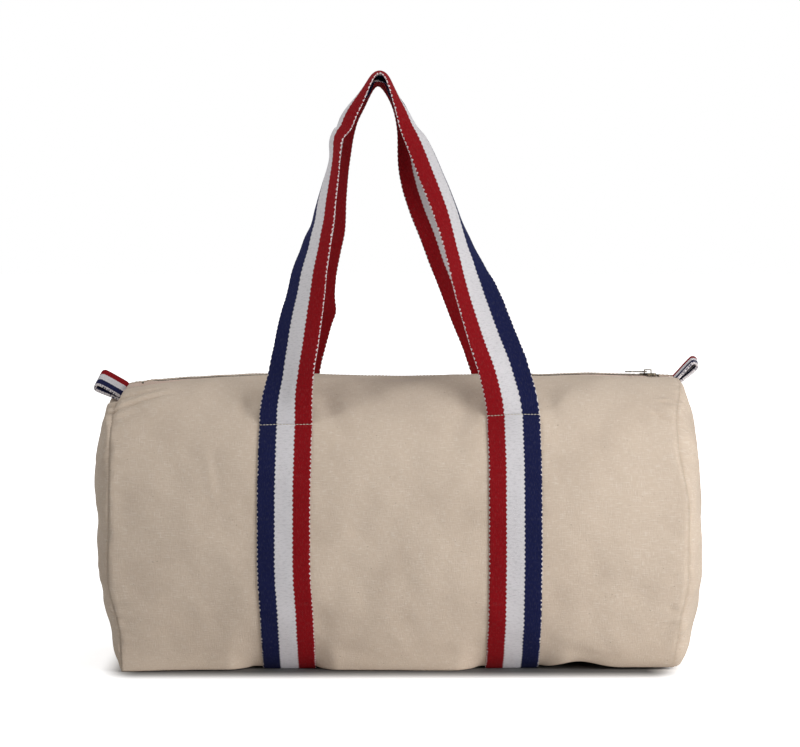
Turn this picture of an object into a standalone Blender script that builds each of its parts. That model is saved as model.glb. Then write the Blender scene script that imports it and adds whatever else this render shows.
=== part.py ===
"""A barrel-shaped travel bag of cotton canvas with tricolour webbing handles and a zip along its top.

Metres, +Z up, X along the bag, the front at -Y, and the origin on the ground under its middle. The canvas
section is one closed curve. A place on it is given by its girth (the way along the canvas from the middle of
the top, down the front, under the bag and up the back) and by its depth (the way in from the outer surface).
"""

import math
from typing import NamedTuple

import bmesh
import bpy
import numpy as np
from mathutils import Vector

# Canvas body
BAG_LENGTH = 0.500
BAG_DEPTH = 0.270
CANVAS_HEIGHT = 0.2629
WIDEST_HEIGHT_SHARE = 0.48
BASE_CUT_SHARE = 0.955
DOME_ROUNDNESS = 2.4
BASE_ROUNDNESS = 3.2
CANVAS_THICKNESS = 0.0015
SECTION_STEP = 0.0165
SLOPE_STEP = 0.0001
CURVE_SAMPLES = 4000

# Clearance between pieces that touch on the real bag
GAP = 0.0003

# Mouth and zip tapes
MOUTH_HALF_GAP = 0.0095
LIP_WIDTH = 0.0755
TAPE_WIDTH = 0.016
TAPE_THICKNESS = 0.0006
TAPE_STEP = 0.0020

# Zip teeth: each row is a bead with hooked teeth that stand between those of the other row
TOOTH_PITCH = 0.0045
TOOTH_ROOT_WIDTH = 0.0024
TOOTH_NECK_WIDTH = 0.0015
TOOTH_HEAD_WIDTH = 0.0020
TOOTH_HEIGHT = 0.0020
TOOTH_REACH = 0.0009
TOOTH_NECK_BACK = 0.0003
BEAD_INNER = 0.0017
BEAD_OUTER = 0.0028
MOUTH_MARGIN = 0.045
LEFT_TEETH = 5
RIGHT_TEETH = 8
STOP_LENGTH = 0.0024
STOP_JAW = 0.0007

# Slider and puller
SLIDER_INSET = 0.0170
SLIDER_LENGTH = 0.0150
SLIDER_PLATE = 0.0012
SLIDER_RIM = 0.0009
SLIDER_STATIONS = 8
SLIDER_CORNER_POWER = 4
SLIDER_POST_LENGTH = 0.0040
SLIDER_POST_WIDTH = 0.0014
SLIDER_POST_INSET = 0.0010
BRIDGE_WIDTH = 0.0024
BRIDGE_STRIP = 0.0010
BRIDGE_CLEAR = 0.0026
BRIDGE_HALF_LENGTH = 0.0036
PULLER_LENGTH = 0.0200
PULLER_WIDTH = 0.0066
PULLER_THICKNESS = 0.0011
PULLER_WINDOW_LENGTH = 0.0068
PULLER_WINDOW_HALF = 0.0017
PULLER_HOLE_LENGTH = 0.0040
PULLER_HOLE_HALF = 0.0013
PULLER_HOLE_INSET = 0.0020
PULLER_WAIST_SHARE = 0.9
PULLER_TIP_SHARE = 0.7

# Round canvas ends and the tape that binds their seams inside
END_BULGE = 0.030
END_BULGE_POWER = 2.5
END_RING_SHARES = (1.0, 0.93, 0.82, 0.66, 0.46, 0.24)
BINDING_WIDTH = 0.010
BINDING_THICKNESS = 0.0018

# Webbing: sewn straps and free handles
WEBBING_WIDTH = 0.048
WEBBING_THICKNESS = 0.0018
STRAP_SPACING = 0.206
STITCH_DROP = 0.0405
HANDLE_RISE = 0.3215
HANDLE_APEX_FORWARD = 0.013
HANDLE_APEX_SIDE = -0.018
HANDLE_START = 0.0006
HANDLE_NEST = 0.011
HANDLE_CURL_SHARE = 0.2865
STATIONS_PER_SPAN = 4
# Way from the stitch line to the apex: share of the rise, then of the side way on the left and on the right
LEG_SHARES = (
    (0.00, 0.00, 0.00), (0.05, 0.00, 0.00), (0.15, 0.08, 0.08), (0.355, 0.26, 0.245), (0.52, 0.38, 0.40),
    (0.66, 0.48, 0.54), (0.79, 0.59, 0.69), (0.89, 0.71, 0.80), (0.96, 0.82, 0.88), (1.00, 1.00, 1.00),
)
# Turn of the webbing about its own length, as (share of the rise, share of a quarter turn)
TURN_SHARES = ((0.0, 0.0), (0.25, 0.10), (0.45, 0.32), (0.62, 0.50), (0.80, 0.72), (1.0, 1.0))

# Folded tape loops at both ends of the zip
TAB_WIDTH = 0.018
TAB_TAPE = 0.0013
TAB_TAIL = 0.007
LEFT_TAB_REACH = 0.025
RIGHT_TAB_REACH = 0.030
TAB_LOOP_RADIUS = 0.0042
TAB_BEND_LENGTH = 0.006
LEFT_TAB_RISE_SHARE = 0.40
RIGHT_TAB_RISE_SHARE = 0.5
TAB_STATIONS = 7
TAB_TIP_STATIONS = 7

QUARTER_TURN = math.radians(90)
# Red, white and blue stripes, from the inner edge of the webbing to its outer one
STRIPE_COUNT = 3
HALF_LENGTH = BAG_LENGTH / 2
CANVAS_BASE = WEBBING_THICKNESS + GAP
STRAP_X = STRAP_SPACING / 2
STITCH_HEIGHT = CANVAS_BASE + CANVAS_HEIGHT - STITCH_DROP
MOUTH_TEETH = 2 * int((HALF_LENGTH - MOUTH_MARGIN) / TOOTH_PITCH) + 1
MOUTH_HALF_LENGTH = TOOTH_PITCH * MOUTH_TEETH / 2
TAPE_END_INSET = (TAB_TAPE + GAP) * 2
TAPE_INNER = BEAD_OUTER + GAP
TAPE_OUTER = TAPE_INNER + TAPE_WIDTH
TAPE_DEPTH = CANVAS_THICKNESS + GAP
ROW_DEPTH = TAPE_DEPTH + TAPE_THICKNESS / 2
SLIDER_AT = HALF_LENGTH - SLIDER_INSET
LIP_FOLD = MOUTH_HALF_GAP + LIP_WIDTH
ROW_SPREAD = TOOTH_REACH + SLIDER_POST_WIDTH / 2 + GAP


def section_curve():
    """One half of the canvas section, from the middle of its top to the middle of its base.

    The dome and the lower half are superellipses that meet at the widest height, and the base is cut flat.
    Returns the girth, the distance from the middle plane and the height of each sample.
    """
    widest = CANVAS_BASE + CANVAS_HEIGHT * WIDEST_HEIGHT_SHARE
    dome = CANVAS_BASE + CANVAS_HEIGHT - widest
    base = (widest - CANVAS_BASE) / BASE_CUT_SHARE
    angle = np.linspace(0, math.pi, CURVE_SAMPLES)
    sine, cosine = np.abs(np.sin(angle)), np.cos(angle)
    roundness = np.where(cosine >= 0, DOME_ROUNDNESS, BASE_ROUNDNESS)
    rise = np.where(cosine >= 0, dome, base)
    across = BAG_DEPTH / 2 * sine ** (2 / roundness)
    height = widest + rise * np.sign(cosine) * np.abs(cosine) ** (2 / roundness)
    height = np.maximum(height, CANVAS_BASE)
    across[-1] = 0
    steps = np.hypot(np.diff(across), np.diff(height))
    return np.concatenate(([0], np.cumsum(steps))), across, height


GIRTHS, ACROSS, HEIGHTS = section_curve()
HALF_GIRTH = GIRTHS[-1]
FULL_GIRTH = HALF_GIRTH * 2


def girth_at_height(height):
    """Girth of the place on the dome that lies at this height."""
    upper = ACROSS.argmax()
    return float(np.interp(-height, -HEIGHTS[:upper], GIRTHS[:upper]))


STITCH_GIRTH = girth_at_height(STITCH_HEIGHT)
BASE_GIRTH = float(GIRTHS[np.argmax(HEIGHTS <= CANVAS_BASE)])


def section_point(girth, depth):
    """The (y, z) of a place on the section, at a girth and a depth inwards from the outer surface."""
    girth = girth % FULL_GIRTH
    side = -1 if girth <= HALF_GIRTH else 1
    girth = min(girth, FULL_GIRTH - girth)
    low, high = girth - SLOPE_STEP, min(girth + SLOPE_STEP, HALF_GIRTH)
    slope = (1.0, 0.0)
    if low > 0:
        slope = (
            float(np.interp(high, GIRTHS, ACROSS) - np.interp(low, GIRTHS, ACROSS)),
            float(np.interp(high, GIRTHS, HEIGHTS) - np.interp(low, GIRTHS, HEIGHTS)),
        )
    length = math.hypot(*slope)
    inwards = (slope[1] / length, -slope[0] / length)
    across = float(np.interp(girth, GIRTHS, ACROSS)) + inwards[0] * depth
    height = float(np.interp(girth, GIRTHS, HEIGHTS)) + inwards[1] * depth
    return side * across, height


def girth_stations(first, last):
    """Girths from first to last, through every place where a piece ends, with no long step between them."""
    marks = [MOUTH_HALF_GAP, TAPE_OUTER, LIP_FOLD, STITCH_GIRTH, BASE_GIRTH, HALF_GIRTH]
    marks = sorted({0.0, *marks, *(FULL_GIRTH - mark for mark in marks), FULL_GIRTH})
    stations = []
    for low, high in zip(marks, marks[1:]):
        count = math.ceil((high - low) / SECTION_STEP)
        stations += [low + (high - low) * i / count for i in range(count)]
    inside = [s for s in stations if first + GAP < s < last - GAP]
    return [first, *inside, last]


class Slab(NamedTuple):
    """A closed sheet: its points, its faces and, for each face, the cell of the sheet that it belongs to."""

    points: list
    faces: list
    owners: list


def material(name, colour, roughness, metallic=0.0):
    """A Principled material of one colour."""
    made = bpy.data.materials.new(name)
    made.use_nodes = True
    shader = made.node_tree.nodes["Principled BSDF"]
    shader.inputs["Base Color"].default_value = (*colour, 1.0)
    shader.inputs["Roughness"].default_value = roughness
    shader.inputs["Metallic"].default_value = metallic
    made.diffuse_color = (*colour, 1.0)
    return made


def add_part(name, slab, made_of, origin=(0, 0, 0), parent=None, stripes=()):
    """An object from a slab in the bag's frame, with its own origin at the given place.

    stripes are the slots in the materials made_of that the columns of the slab's grid take in turn.
    """
    mesh = bpy.data.meshes.new(name)
    start = Vector(origin)
    mesh.from_pydata([Vector(p) - start for p in slab.points], [], slab.faces)
    work = bmesh.new()
    work.from_mesh(mesh)
    if work.calc_volume(signed=True) < 0:
        bmesh.ops.reverse_faces(work, faces=work.faces)
    work.to_mesh(mesh)
    work.free()
    for paint in made_of if stripes else [made_of]:
        mesh.materials.append(paint)
    if stripes:
        slots = [stripes[owner % len(stripes)] for owner in slab.owners]
        mesh.polygons.foreach_set("material_index", slots)
    part = bpy.data.objects.new(name, mesh)
    bpy.context.scene.collection.objects.link(part)
    part.location = start
    if parent:
        part.parent = parent
        part.location = start - parent.location
    return part


def closed_slab(outer, inner, cells):
    """A closed sheet from its outer and inner layers, with a wall along every free edge.

    cells are faces of the outer layer, as indices into outer, and inner has the same order as outer.
    """
    count = len(outer)
    edges = {}
    for owner, cell in enumerate(cells):
        for edge in zip(cell, cell[1:] + cell[:1]):
            edges[edge] = owner
    free = {(a, b): owner for (a, b), owner in edges.items() if (b, a) not in edges}
    faces = list(cells) + [tuple(count + i for i in reversed(cell)) for cell in cells]
    faces += [(b, a, count + a, count + b) for a, b in free]
    owners = [*range(len(cells)), *range(len(cells)), *free.values()]
    return Slab([*outer, *inner], faces, owners)


def grid_cells(rows, columns, missing=()):
    """Quad cells of a grid of points, stored row by row, without the cells (row, column) that are missing."""
    return [
        (r * columns + c, (r + 1) * columns + c, (r + 1) * columns + c + 1, r * columns + c + 1)
        for r in range(rows - 1)
        for c in range(columns - 1)
        if (r, c) not in missing
    ]


def cloth_band(xs, girths, depth, thickness, missing=()):
    """A sheet that follows the section: one row for each x, one column for each girth."""
    outer = [(x, *section_point(g, depth)) for x in xs for g in girths]
    inner = [(x, *section_point(g, depth + thickness)) for x in xs for g in girths]
    return closed_slab(outer, inner, grid_cells(len(xs), len(girths), missing))


def smooth(share):
    """A share from 0 to 1 that starts and ends level."""
    share = min(max(share, 0.0), 1.0)
    return share * share * (3 - 2 * share)


def add_body(canvas):
    """The sheet from one side of the zip round to the other, cut out between the folds of the two lips."""
    xs = [-HALF_LENGTH, -MOUTH_HALF_LENGTH, MOUTH_HALF_LENGTH, HALF_LENGTH]
    girths = girth_stations(MOUTH_HALF_GAP, FULL_GIRTH - MOUTH_HALF_GAP)
    lips = {
        (1, c)
        for c, (low, high) in enumerate(zip(girths, girths[1:]))
        if high <= LIP_FOLD + GAP or low >= FULL_GIRTH - LIP_FOLD - GAP
    }
    add_part("body_panel", cloth_band(xs, girths, 0, CANVAS_THICKNESS, lips), canvas)


def add_end(side, name, canvas):
    """A round end: the section's outline at the seam, swelling to its middle, one canvas thick."""
    girths = girth_stations(0.0, FULL_GIRTH)[:-1]
    columns = len(girths)
    middle = section_point(0, CANVAS_HEIGHT / 2)
    layers = []
    for depth in (0, CANVAS_THICKNESS):
        rim = [section_point(g, depth) for g in girths]
        layer = []
        for share in END_RING_SHARES:
            swell = (END_BULGE - depth) * (1 - share**END_BULGE_POWER)
            x = side * (HALF_LENGTH + GAP + swell)
            layer += [
                (x, middle[0] + (y - middle[0]) * share, middle[1] + (z - middle[1]) * share)
                for y, z in rim
            ]
        layer.append((side * (HALF_LENGTH + GAP + END_BULGE - depth), *middle))
        layers.append(layer)
    cells = [
        (r * columns + c, r * columns + (c + 1) % columns,
         (r + 1) * columns + (c + 1) % columns, (r + 1) * columns + c)
        for r in range(len(END_RING_SHARES) - 1)
        for c in range(columns)
    ]
    last = (len(END_RING_SHARES) - 1) * columns
    pole = len(END_RING_SHARES) * columns
    cells += [(last + c, last + (c + 1) % columns, pole) for c in range(columns)]
    add_part(name, closed_slab(*layers, cells), canvas)


def add_binding(side, name, tape):
    """The tape over the raw edges of an end seam, inside the bag and open where the zip tapes pass."""
    start = TAPE_OUTER + CANVAS_THICKNESS
    girths = girth_stations(start, FULL_GIRTH - start)
    xs = sorted((side * (HALF_LENGTH - BINDING_WIDTH), side * HALF_LENGTH))
    add_part(name, cloth_band(xs, girths, CANVAS_THICKNESS + GAP, BINDING_THICKNESS), tape)


def add_strap(x, name, webbing):
    """Webbing from the front stitch line under the bag and up to the stitch line at the back."""
    girths = girth_stations(STITCH_GIRTH, FULL_GIRTH - STITCH_GIRTH)
    width = math.copysign(WEBBING_WIDTH, x)
    xs = [x + width * (i / STRIPE_COUNT - 0.5) for i in range(STRIPE_COUNT + 1)]
    layers = [
        [(end, *section_point(g, depth)) for g in girths for end in xs]
        for depth in (-GAP - WEBBING_THICKNESS, -GAP)
    ]
    slab = closed_slab(*layers, grid_cells(len(girths), len(xs)))
    add_part(name, slab, webbing, stripes=range(STRIPE_COUNT))


def smooth_curve(marks):
    """A curve through all the marks that keeps its direction at each of them, as evenly shared stations."""
    marks = np.array(marks)
    ends = np.vstack((marks[0] * 2 - marks[1], marks, marks[-1] * 2 - marks[-2]))
    curve = []
    for before, start, end, after in zip(ends, ends[1:], ends[2:], ends[3:]):
        for share in (i / STATIONS_PER_SPAN for i in range(STATIONS_PER_SPAN)):
            pull = (end - before) * share + (before * 2 - start * 5 + end * 4 - after) * share**2
            curve.append(start + (pull + (start * 3 - before - end * 3 + after) * share**3) / 2)
    return np.vstack((curve, marks[-1:]))


def handle_path(rise):
    """Centre line of a handle in its own upright plane, as (x, height) pairs from left to right."""
    marks = [
        (-STRAP_X + (HANDLE_APEX_SIDE + STRAP_X) * across, rise * up) for up, across, _ in LEG_SHARES
    ]
    marks += [
        (STRAP_X + (HANDLE_APEX_SIDE - STRAP_X) * across, rise * up) for up, _, across in LEG_SHARES[-2::-1]
    ]
    return smooth_curve(marks)


def add_handle(face, name, webbing):
    """A free loop of webbing that hinges at the stitch line and leans on the other handle at its top.

    face is -1 for the front handle and 1 for the back one, whose top lies just under the front one's.
    """
    y, z = section_point(STITCH_GIRTH, -GAP - WEBBING_THICKNESS)
    above = section_point(STITCH_GIRTH - HANDLE_START, -GAP - WEBBING_THICKNESS)
    hinge = Vector((0, -face * (y + above[0]) / 2, (z + above[1]) / 2))
    lean = math.atan2(abs(y) - HANDLE_APEX_FORWARD, HANDLE_RISE)
    rise = (HANDLE_RISE - (HANDLE_NEST if face > 0 else 0.0)) / math.cos(lean)
    path = handle_path(rise)
    tangents = np.gradient(path, axis=0)
    tangents /= np.linalg.norm(tangents, axis=1)[:, None]
    tangents[0], tangents[-1] = (0, 1), (0, -1)
    turns = np.array(TURN_SHARES)
    layers = ([], [])
    for (x, up), (along_x, along_up) in zip(path, tangents):
        turn = QUARTER_TURN * np.interp(up / rise, turns[:, 0], turns[:, 1])
        curl = QUARTER_TURN * HANDLE_CURL_SHARE * math.sin(turn)
        outwards = Vector((-along_up, 0, along_x))
        front = Vector((0, face, 0))
        width = outwards * math.cos(turn) - front * math.sin(turn)
        normal = outwards * math.sin(turn) + front * math.cos(turn)
        centre = Vector((x, 0, up + HANDLE_START / 2))
        for column in range(STRIPE_COUNT + 1):
            share = column / STRIPE_COUNT * 2 - 1
            bend = curl * share
            sideways = share * np.sinc(bend / math.pi)
            sunk = share * bend / 2 * np.sinc(bend / 2 / math.pi) ** 2
            outer = centre + (width * sideways - normal * sunk) * WEBBING_WIDTH / 2
            facing = normal * math.cos(bend) + width * math.sin(bend)
            layers[0].append(outer)
            layers[1].append(outer - facing * WEBBING_THICKNESS)
    slab = closed_slab(*layers, grid_cells(len(path), STRIPE_COUNT + 1))
    part = add_part(name, slab, webbing, stripes=range(STRIPE_COUNT))
    part.location = hinge
    part.rotation_euler = (face * lean, 0, 0)


def row_spread(x):
    """How far each zip row stands off the closed line: nothing up to the slider, then round its post."""
    start = SLIDER_AT - SLIDER_LENGTH / 2
    end = SLIDER_AT + SLIDER_LENGTH / 2 - SLIDER_POST_INSET - SLIDER_POST_LENGTH
    return ROW_SPREAD * smooth((x - start) / (end - start))


def tape_stretches():
    """The zip's stretches from left to right: name, ends of the tape, and first and last half pitch of teeth."""
    middle = MOUTH_TEETH / 2
    mouth, seam = MOUTH_HALF_LENGTH, HALF_LENGTH - TAPE_END_INSET
    return (
        ("left", -seam, -mouth - GAP / 2, -middle - LEFT_TEETH, -middle),
        ("middle", -mouth + GAP / 2, mouth - GAP / 2, -middle, middle),
        ("right", mouth + GAP / 2, seam, middle, middle + RIGHT_TEETH),
    )


def add_tape(face, side_name, stretch, tape, origin, parent):
    """One stretch of zip tape, sewn under the canvas edge, with its inner edge beside the row of teeth."""
    name, start, end = stretch[:3]
    count = math.ceil((end - start) / TAPE_STEP) if name == "right" else 1
    xs = [start + (end - start) * i / count for i in range(count + 1)]
    shares = (0.0, (MOUTH_HALF_GAP - TAPE_INNER) / TAPE_WIDTH, 1.0)
    layers = ([], [])
    for x in xs:
        inner = TAPE_INNER + row_spread(x)
        for share in shares:
            girth = inner + (TAPE_OUTER - inner) * share
            girth = girth if face < 0 else FULL_GIRTH - girth
            for layer, depth in zip(layers, (TAPE_DEPTH, TAPE_DEPTH + TAPE_THICKNESS)):
                layer.append((x, *section_point(girth, depth)))
    slab = closed_slab(*layers, grid_cells(len(xs), len(shares)))
    add_part(f"zip_tape_{side_name}_{name}", slab, tape, origin, parent)


def add_row(face, side_name, stretch, metal, origin, parent):
    """One stretch of zip teeth: a bead with a hooked tooth at every pitch, as one flat comb."""
    name, *_, start, end = stretch
    shift = 0.5 if face > 0 else 0.0
    offset = TOOTH_PITCH * shift
    first, last = math.ceil(start - shift), math.ceil(end - shift) - 1
    outline = []
    cells = []

    def add_pair(x, half, across):
        """Two points either side of a tooth's middle, at a distance from the zip's middle."""
        outline.extend((end_x, across + row_spread(end_x)) for end_x in (x - half, x + half))
        return len(outline) - 2

    start_pair = add_pair((first - 0.5) * TOOTH_PITCH + offset + GAP / 2, 0, BEAD_OUTER)
    outline[start_pair + 1] = (outline[start_pair][0], outline[start_pair][1] - BEAD_OUTER + BEAD_INNER)
    outer_point, inner_point = start_pair, start_pair + 1
    for index in range(first, last + 1):
        x = index * TOOTH_PITCH + offset
        outside = add_pair(x, TOOTH_ROOT_WIDTH / 2, BEAD_OUTER)
        root = add_pair(x, TOOTH_ROOT_WIDTH / 2, BEAD_INNER)
        neck = add_pair(x, TOOTH_NECK_WIDTH / 2, TOOTH_NECK_BACK)
        head = add_pair(x, TOOTH_HEAD_WIDTH / 2, -TOOTH_REACH)
        cells += [
            (outer_point, outside, root, inner_point),
            (outside, outside + 1, root + 1, root),
            (root, root + 1, neck + 1, neck),
            (neck, neck + 1, head + 1, head),
        ]
        outer_point, inner_point = outside + 1, root + 1
    finish = add_pair((last + 0.5) * TOOTH_PITCH + offset - GAP / 2, 0, BEAD_OUTER)
    outline[finish + 1] = (outline[finish][0], outline[finish][1] - BEAD_OUTER + BEAD_INNER)
    cells.append((outer_point, finish, finish + 1, inner_point))
    middle = section_point(0, ROW_DEPTH)[1]
    layers = [
        [(x, face * across, middle + level * TOOTH_HEIGHT / 2) for x, across in outline]
        for level in (1, -1)
    ]
    add_part(f"zip_teeth_{side_name}_{name}", closed_slab(*layers, cells), metal, origin, parent)


def add_stop(name, x, across, tape_slots, metal):
    """A zip stop: two jaws over the tape, joined by a web everywhere but in its tape slots.

    across holds its places from side to side, and tape_slots the stretches between them that take tape.
    """
    middle = section_point(0, ROW_DEPTH)[1]
    slot = TAPE_THICKNESS / 2 + GAP
    levels = (slot + STOP_JAW, slot, -slot, -slot - STOP_JAW)
    layers = [
        [(end, y, middle + level) for level in levels for y in across]
        for end in (x - STOP_LENGTH / 2, x + STOP_LENGTH / 2)
    ]
    cells = grid_cells(len(levels), len(across), {(1, slot_at) for slot_at in tape_slots})
    add_part(name, closed_slab(*layers, cells), metal)


def add_stops(metal):
    """The top stops at the right ends of the two rows, and the bottom stop that ties both tapes at the left."""
    right = TOOTH_PITCH * (MOUTH_TEETH / 2 + RIGHT_TEETH) + GAP + STOP_LENGTH / 2
    left = -TOOTH_PITCH * (MOUTH_TEETH / 2 + LEFT_TEETH + 0.5) - GAP - STOP_LENGTH / 2
    edge = TAPE_INNER + ROW_SPREAD - GAP
    for face, name in ((-1, "front"), (1, "back")):
        across = [face * (edge - STOP_JAW), face * edge, face * (edge + STOP_LENGTH - STOP_JAW)]
        add_stop(f"zip_top_stop_{name}", right, across, [1], metal)
    edge = TAPE_INNER - GAP
    jaw = edge + STOP_LENGTH - STOP_JAW
    add_stop("zip_bottom_stop", left, [-jaw, -edge, edge, jaw], [0, 2], metal)


def join(part, others):
    """Fuse the other objects into this one, and keep them only as hidden guides."""
    for other in others:
        other.hide_render = True
        other.display_type = "WIRE"
        union = part.modifiers.new(other.name, "BOOLEAN")
        union.operation = "UNION"
        union.object = other


def add_slider(metal):
    """Two curved plates whose rims hold the rows, a post that parts them, and a bridge for the puller."""
    middle = section_point(0, ROW_DEPTH)[1]
    origin = (SLIDER_AT, 0, middle)
    slot = TAPE_THICKNESS / 2 + GAP
    hollow = TOOTH_HEIGHT / 2 + GAP
    outside = hollow + SLIDER_PLATE
    stations = [(i / SLIDER_STATIONS - 0.5) * SLIDER_LENGTH for i in range(SLIDER_STATIONS + 1)]
    plates = []
    for level, name in ((1, "zip_slider"), (-1, "slider_lower_plate")):
        layers = ([], [])
        for along in stations:
            x = SLIDER_AT + along
            inner = BEAD_OUTER + GAP + row_spread(x)
            corner = (abs(along) * 2 / SLIDER_LENGTH) ** SLIDER_CORNER_POWER
            outer = inner + SLIDER_RIM * (1 - corner / 2)
            for layer, half, flat in ((layers[0], outer, outside), (layers[1], inner, hollow)):
                layer += [
                    (x, -half, middle + level * slot), (x, -half, middle + level * flat),
                    (x, half, middle + level * flat), (x, half, middle + level * slot),
                ]
        plates.append(add_part(name, closed_slab(*layers, grid_cells(len(stations), 4)), metal, origin))
    slider, lower = plates
    front = SLIDER_AT + SLIDER_LENGTH / 2 - SLIDER_POST_INSET
    back = front - SLIDER_POST_LENGTH
    half = SLIDER_POST_WIDTH / 2
    diamond = [
        (back, 0), (back + SLIDER_POST_LENGTH / 2, -half), (front, -half / 2),
        (front, half / 2), (back + SLIDER_POST_LENGTH / 2, half),
    ]
    reach = hollow + SLIDER_PLATE / 2
    layers = [[(x, y, middle + level * reach) for x, y in diamond] for level in (1, -1)]
    post = add_part("slider_post", closed_slab(*layers, [(0, 1, 2, 3, 4)]), metal)
    foot = middle + hollow + SLIDER_PLATE / 2
    top = middle + outside + BRIDGE_CLEAR
    arch = [(-1, foot), (-1, top), (1, top), (1, foot)]
    layers = ([], [])
    for end, level in arch:
        crown = BRIDGE_STRIP if level == top else 0.0
        for y in (-BRIDGE_WIDTH / 2, BRIDGE_WIDTH / 2):
            layers[0].append((SLIDER_AT + end * BRIDGE_HALF_LENGTH, y, level + crown))
            layers[1].append((SLIDER_AT + end * (BRIDGE_HALF_LENGTH - BRIDGE_STRIP), y, level))
    bridge = add_part("slider_bridge", closed_slab(*layers, grid_cells(len(arch), 2)), metal)
    join(slider, [lower, post, bridge])
    return slider, middle + outside


def add_puller(slider, plate_top, metal):
    """A flat tab whose crossbar lies in the slider's bridge, with a window round the bridge and a grip hole."""
    bar = (BRIDGE_HALF_LENGTH - BRIDGE_STRIP) / 2
    hinge = (SLIDER_AT - bar, 0, plate_top + BRIDGE_CLEAR / 2)
    half_bar = PULLER_THICKNESS / 2
    tip = PULLER_LENGTH
    hole = tip - PULLER_HOLE_LENGTH - PULLER_HOLE_INSET
    grip = PULLER_WIDTH / 2
    throat = PULLER_WINDOW_HALF + PULLER_THICKNESS
    stations = [
        (-half_bar, throat), (half_bar, throat), (PULLER_WINDOW_LENGTH, throat),
        ((PULLER_WINDOW_LENGTH + hole) / 2, throat * PULLER_WAIST_SHARE), (hole, grip),
        (hole + PULLER_HOLE_LENGTH, grip), (tip, grip * PULLER_TIP_SHARE),
    ]
    layers = ([], [])
    for along, half in stations:
        opening = PULLER_HOLE_HALF if along >= hole else PULLER_WINDOW_HALF
        for y in (-half, -opening, opening, half):
            for layer, level in zip(layers, (half_bar, -half_bar)):
                layer.append((hinge[0] - along, y, hinge[2] + level))
    cells = grid_cells(len(stations), 4, {(1, 1), (4, 1)})
    add_part("zip_puller", closed_slab(*layers, cells), metal, hinge, slider)


def add_tab(side, name, tape):
    """A loop of folded tape whose tail is sewn into the end seam, over the end of the zip."""
    reach = LEFT_TAB_REACH if side < 0 else RIGHT_TAB_REACH
    lean_share = 1 - (LEFT_TAB_RISE_SHARE if side < 0 else RIGHT_TAB_RISE_SHARE)
    layer_half = (TAB_TAPE + GAP) / 2
    x = HALF_LENGTH - layer_half - TAB_TAPE / 2
    z = section_point(0, 0)[1] - TAB_TAIL
    straight = TAB_TAIL + TAB_TAPE
    length = TAB_TAIL + reach - TAB_LOOP_RADIUS
    count = TAB_STATIONS * 2
    step = length / count
    spine = [((x, z), QUARTER_TURN)]
    for index in range(count):
        way = (index + 0.5) * step - straight
        angle = QUARTER_TURN * (1 - lean_share * smooth(way / TAB_BEND_LENGTH))
        x += step * math.cos(angle)
        z += step * math.sin(angle)
        spine.append(((x, z), angle))
    sides = []
    for level in (-1, 1):
        line = []
        for index, ((px, pz), angle) in enumerate(spine):
            swell = smooth((index * step - straight) / (length - straight))
            half = layer_half + (TAB_LOOP_RADIUS - layer_half) * swell
            line.append((px - level * half * math.sin(angle), pz + level * half * math.cos(angle)))
        sides.append(line)
    (cx, cz), angle = spine[-1]
    turns = [math.pi * i / TAB_TIP_STATIONS for i in range(1, TAB_TIP_STATIONS)]
    tip = [
        (cx + TAB_LOOP_RADIUS * math.cos(angle - QUARTER_TURN + turn),
         cz + TAB_LOOP_RADIUS * math.sin(angle - QUARTER_TURN + turn))
        for turn in turns
    ]
    path = np.array(sides[0] + tip + sides[1][::-1])
    tangents = np.gradient(path, axis=0)
    tangents /= np.linalg.norm(tangents, axis=1)[:, None]
    outwards = np.stack((tangents[:, 1], -tangents[:, 0]), axis=1)
    layers = []
    for level in (0.5, -0.5):
        shifted = path + outwards * level * TAB_TAPE
        layers.append([
            (side * px, TAB_WIDTH * (column / STRIPE_COUNT - 0.5), pz)
            for px, pz in shifted
            for column in range(STRIPE_COUNT + 1)
        ])
    slab = closed_slab(*layers, grid_cells(len(path), STRIPE_COUNT + 1))
    add_part(name, slab, tape, stripes=range(STRIPE_COUNT)[::-1])


def main():
    """Build the bag."""
    for old in list(bpy.data.objects):
        bpy.data.objects.remove(old, do_unlink=True)
    canvas = material("natural_canvas", (0.58, 0.48, 0.36), 0.9)
    canvas_lip = material("natural_canvas_lip", (0.56, 0.46, 0.35), 0.9)
    webbing = [
        material("red_webbing", (0.42, 0.02, 0.03), 0.85),
        material("white_webbing", (0.80, 0.79, 0.76), 0.85),
        material("blue_webbing", (0.02, 0.03, 0.16), 0.85),
    ]
    tape = material("zip_tape", (0.60, 0.50, 0.42), 0.85)
    nickel = material("nickel", (0.70, 0.68, 0.64), 0.3, 1.0)
    add_body(canvas)
    for side, name in ((-1, "left"), (1, "right")):
        add_end(side, f"end_panel_{name}", canvas)
        add_binding(side, f"seam_binding_{name}", tape)
        add_strap(side * STRAP_X, f"strap_{name}", webbing)
        add_tab(side, f"tab_loop_{name}", webbing)
    for face, name in ((-1, "front"), (1, "back")):
        add_handle(face, f"handle_{name}", webbing)
        fold = LIP_FOLD if face < 0 else FULL_GIRTH - LIP_FOLD
        origin = (0, *section_point(fold, 0))
        ends = (MOUTH_HALF_GAP, LIP_FOLD - GAP)
        if face > 0:
            ends = tuple(FULL_GIRTH - end for end in reversed(ends))
        xs = (-MOUTH_HALF_LENGTH + GAP, MOUTH_HALF_LENGTH - GAP)
        band = cloth_band(xs, girth_stations(*ends), 0, CANVAS_THICKNESS)
        lip = add_part(f"mouth_lip_{name}", band, canvas_lip, origin)
        for stretch in tape_stretches():
            carrier = (origin, lip) if stretch[0] == "middle" else ((0, 0, 0), None)
            add_tape(face, name, stretch, tape, *carrier)
            add_row(face, name, stretch, nickel, *carrier)
    add_stops(nickel)
    slider, plate_top = add_slider(nickel)
    add_puller(slider, plate_top, nickel)


main()
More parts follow.
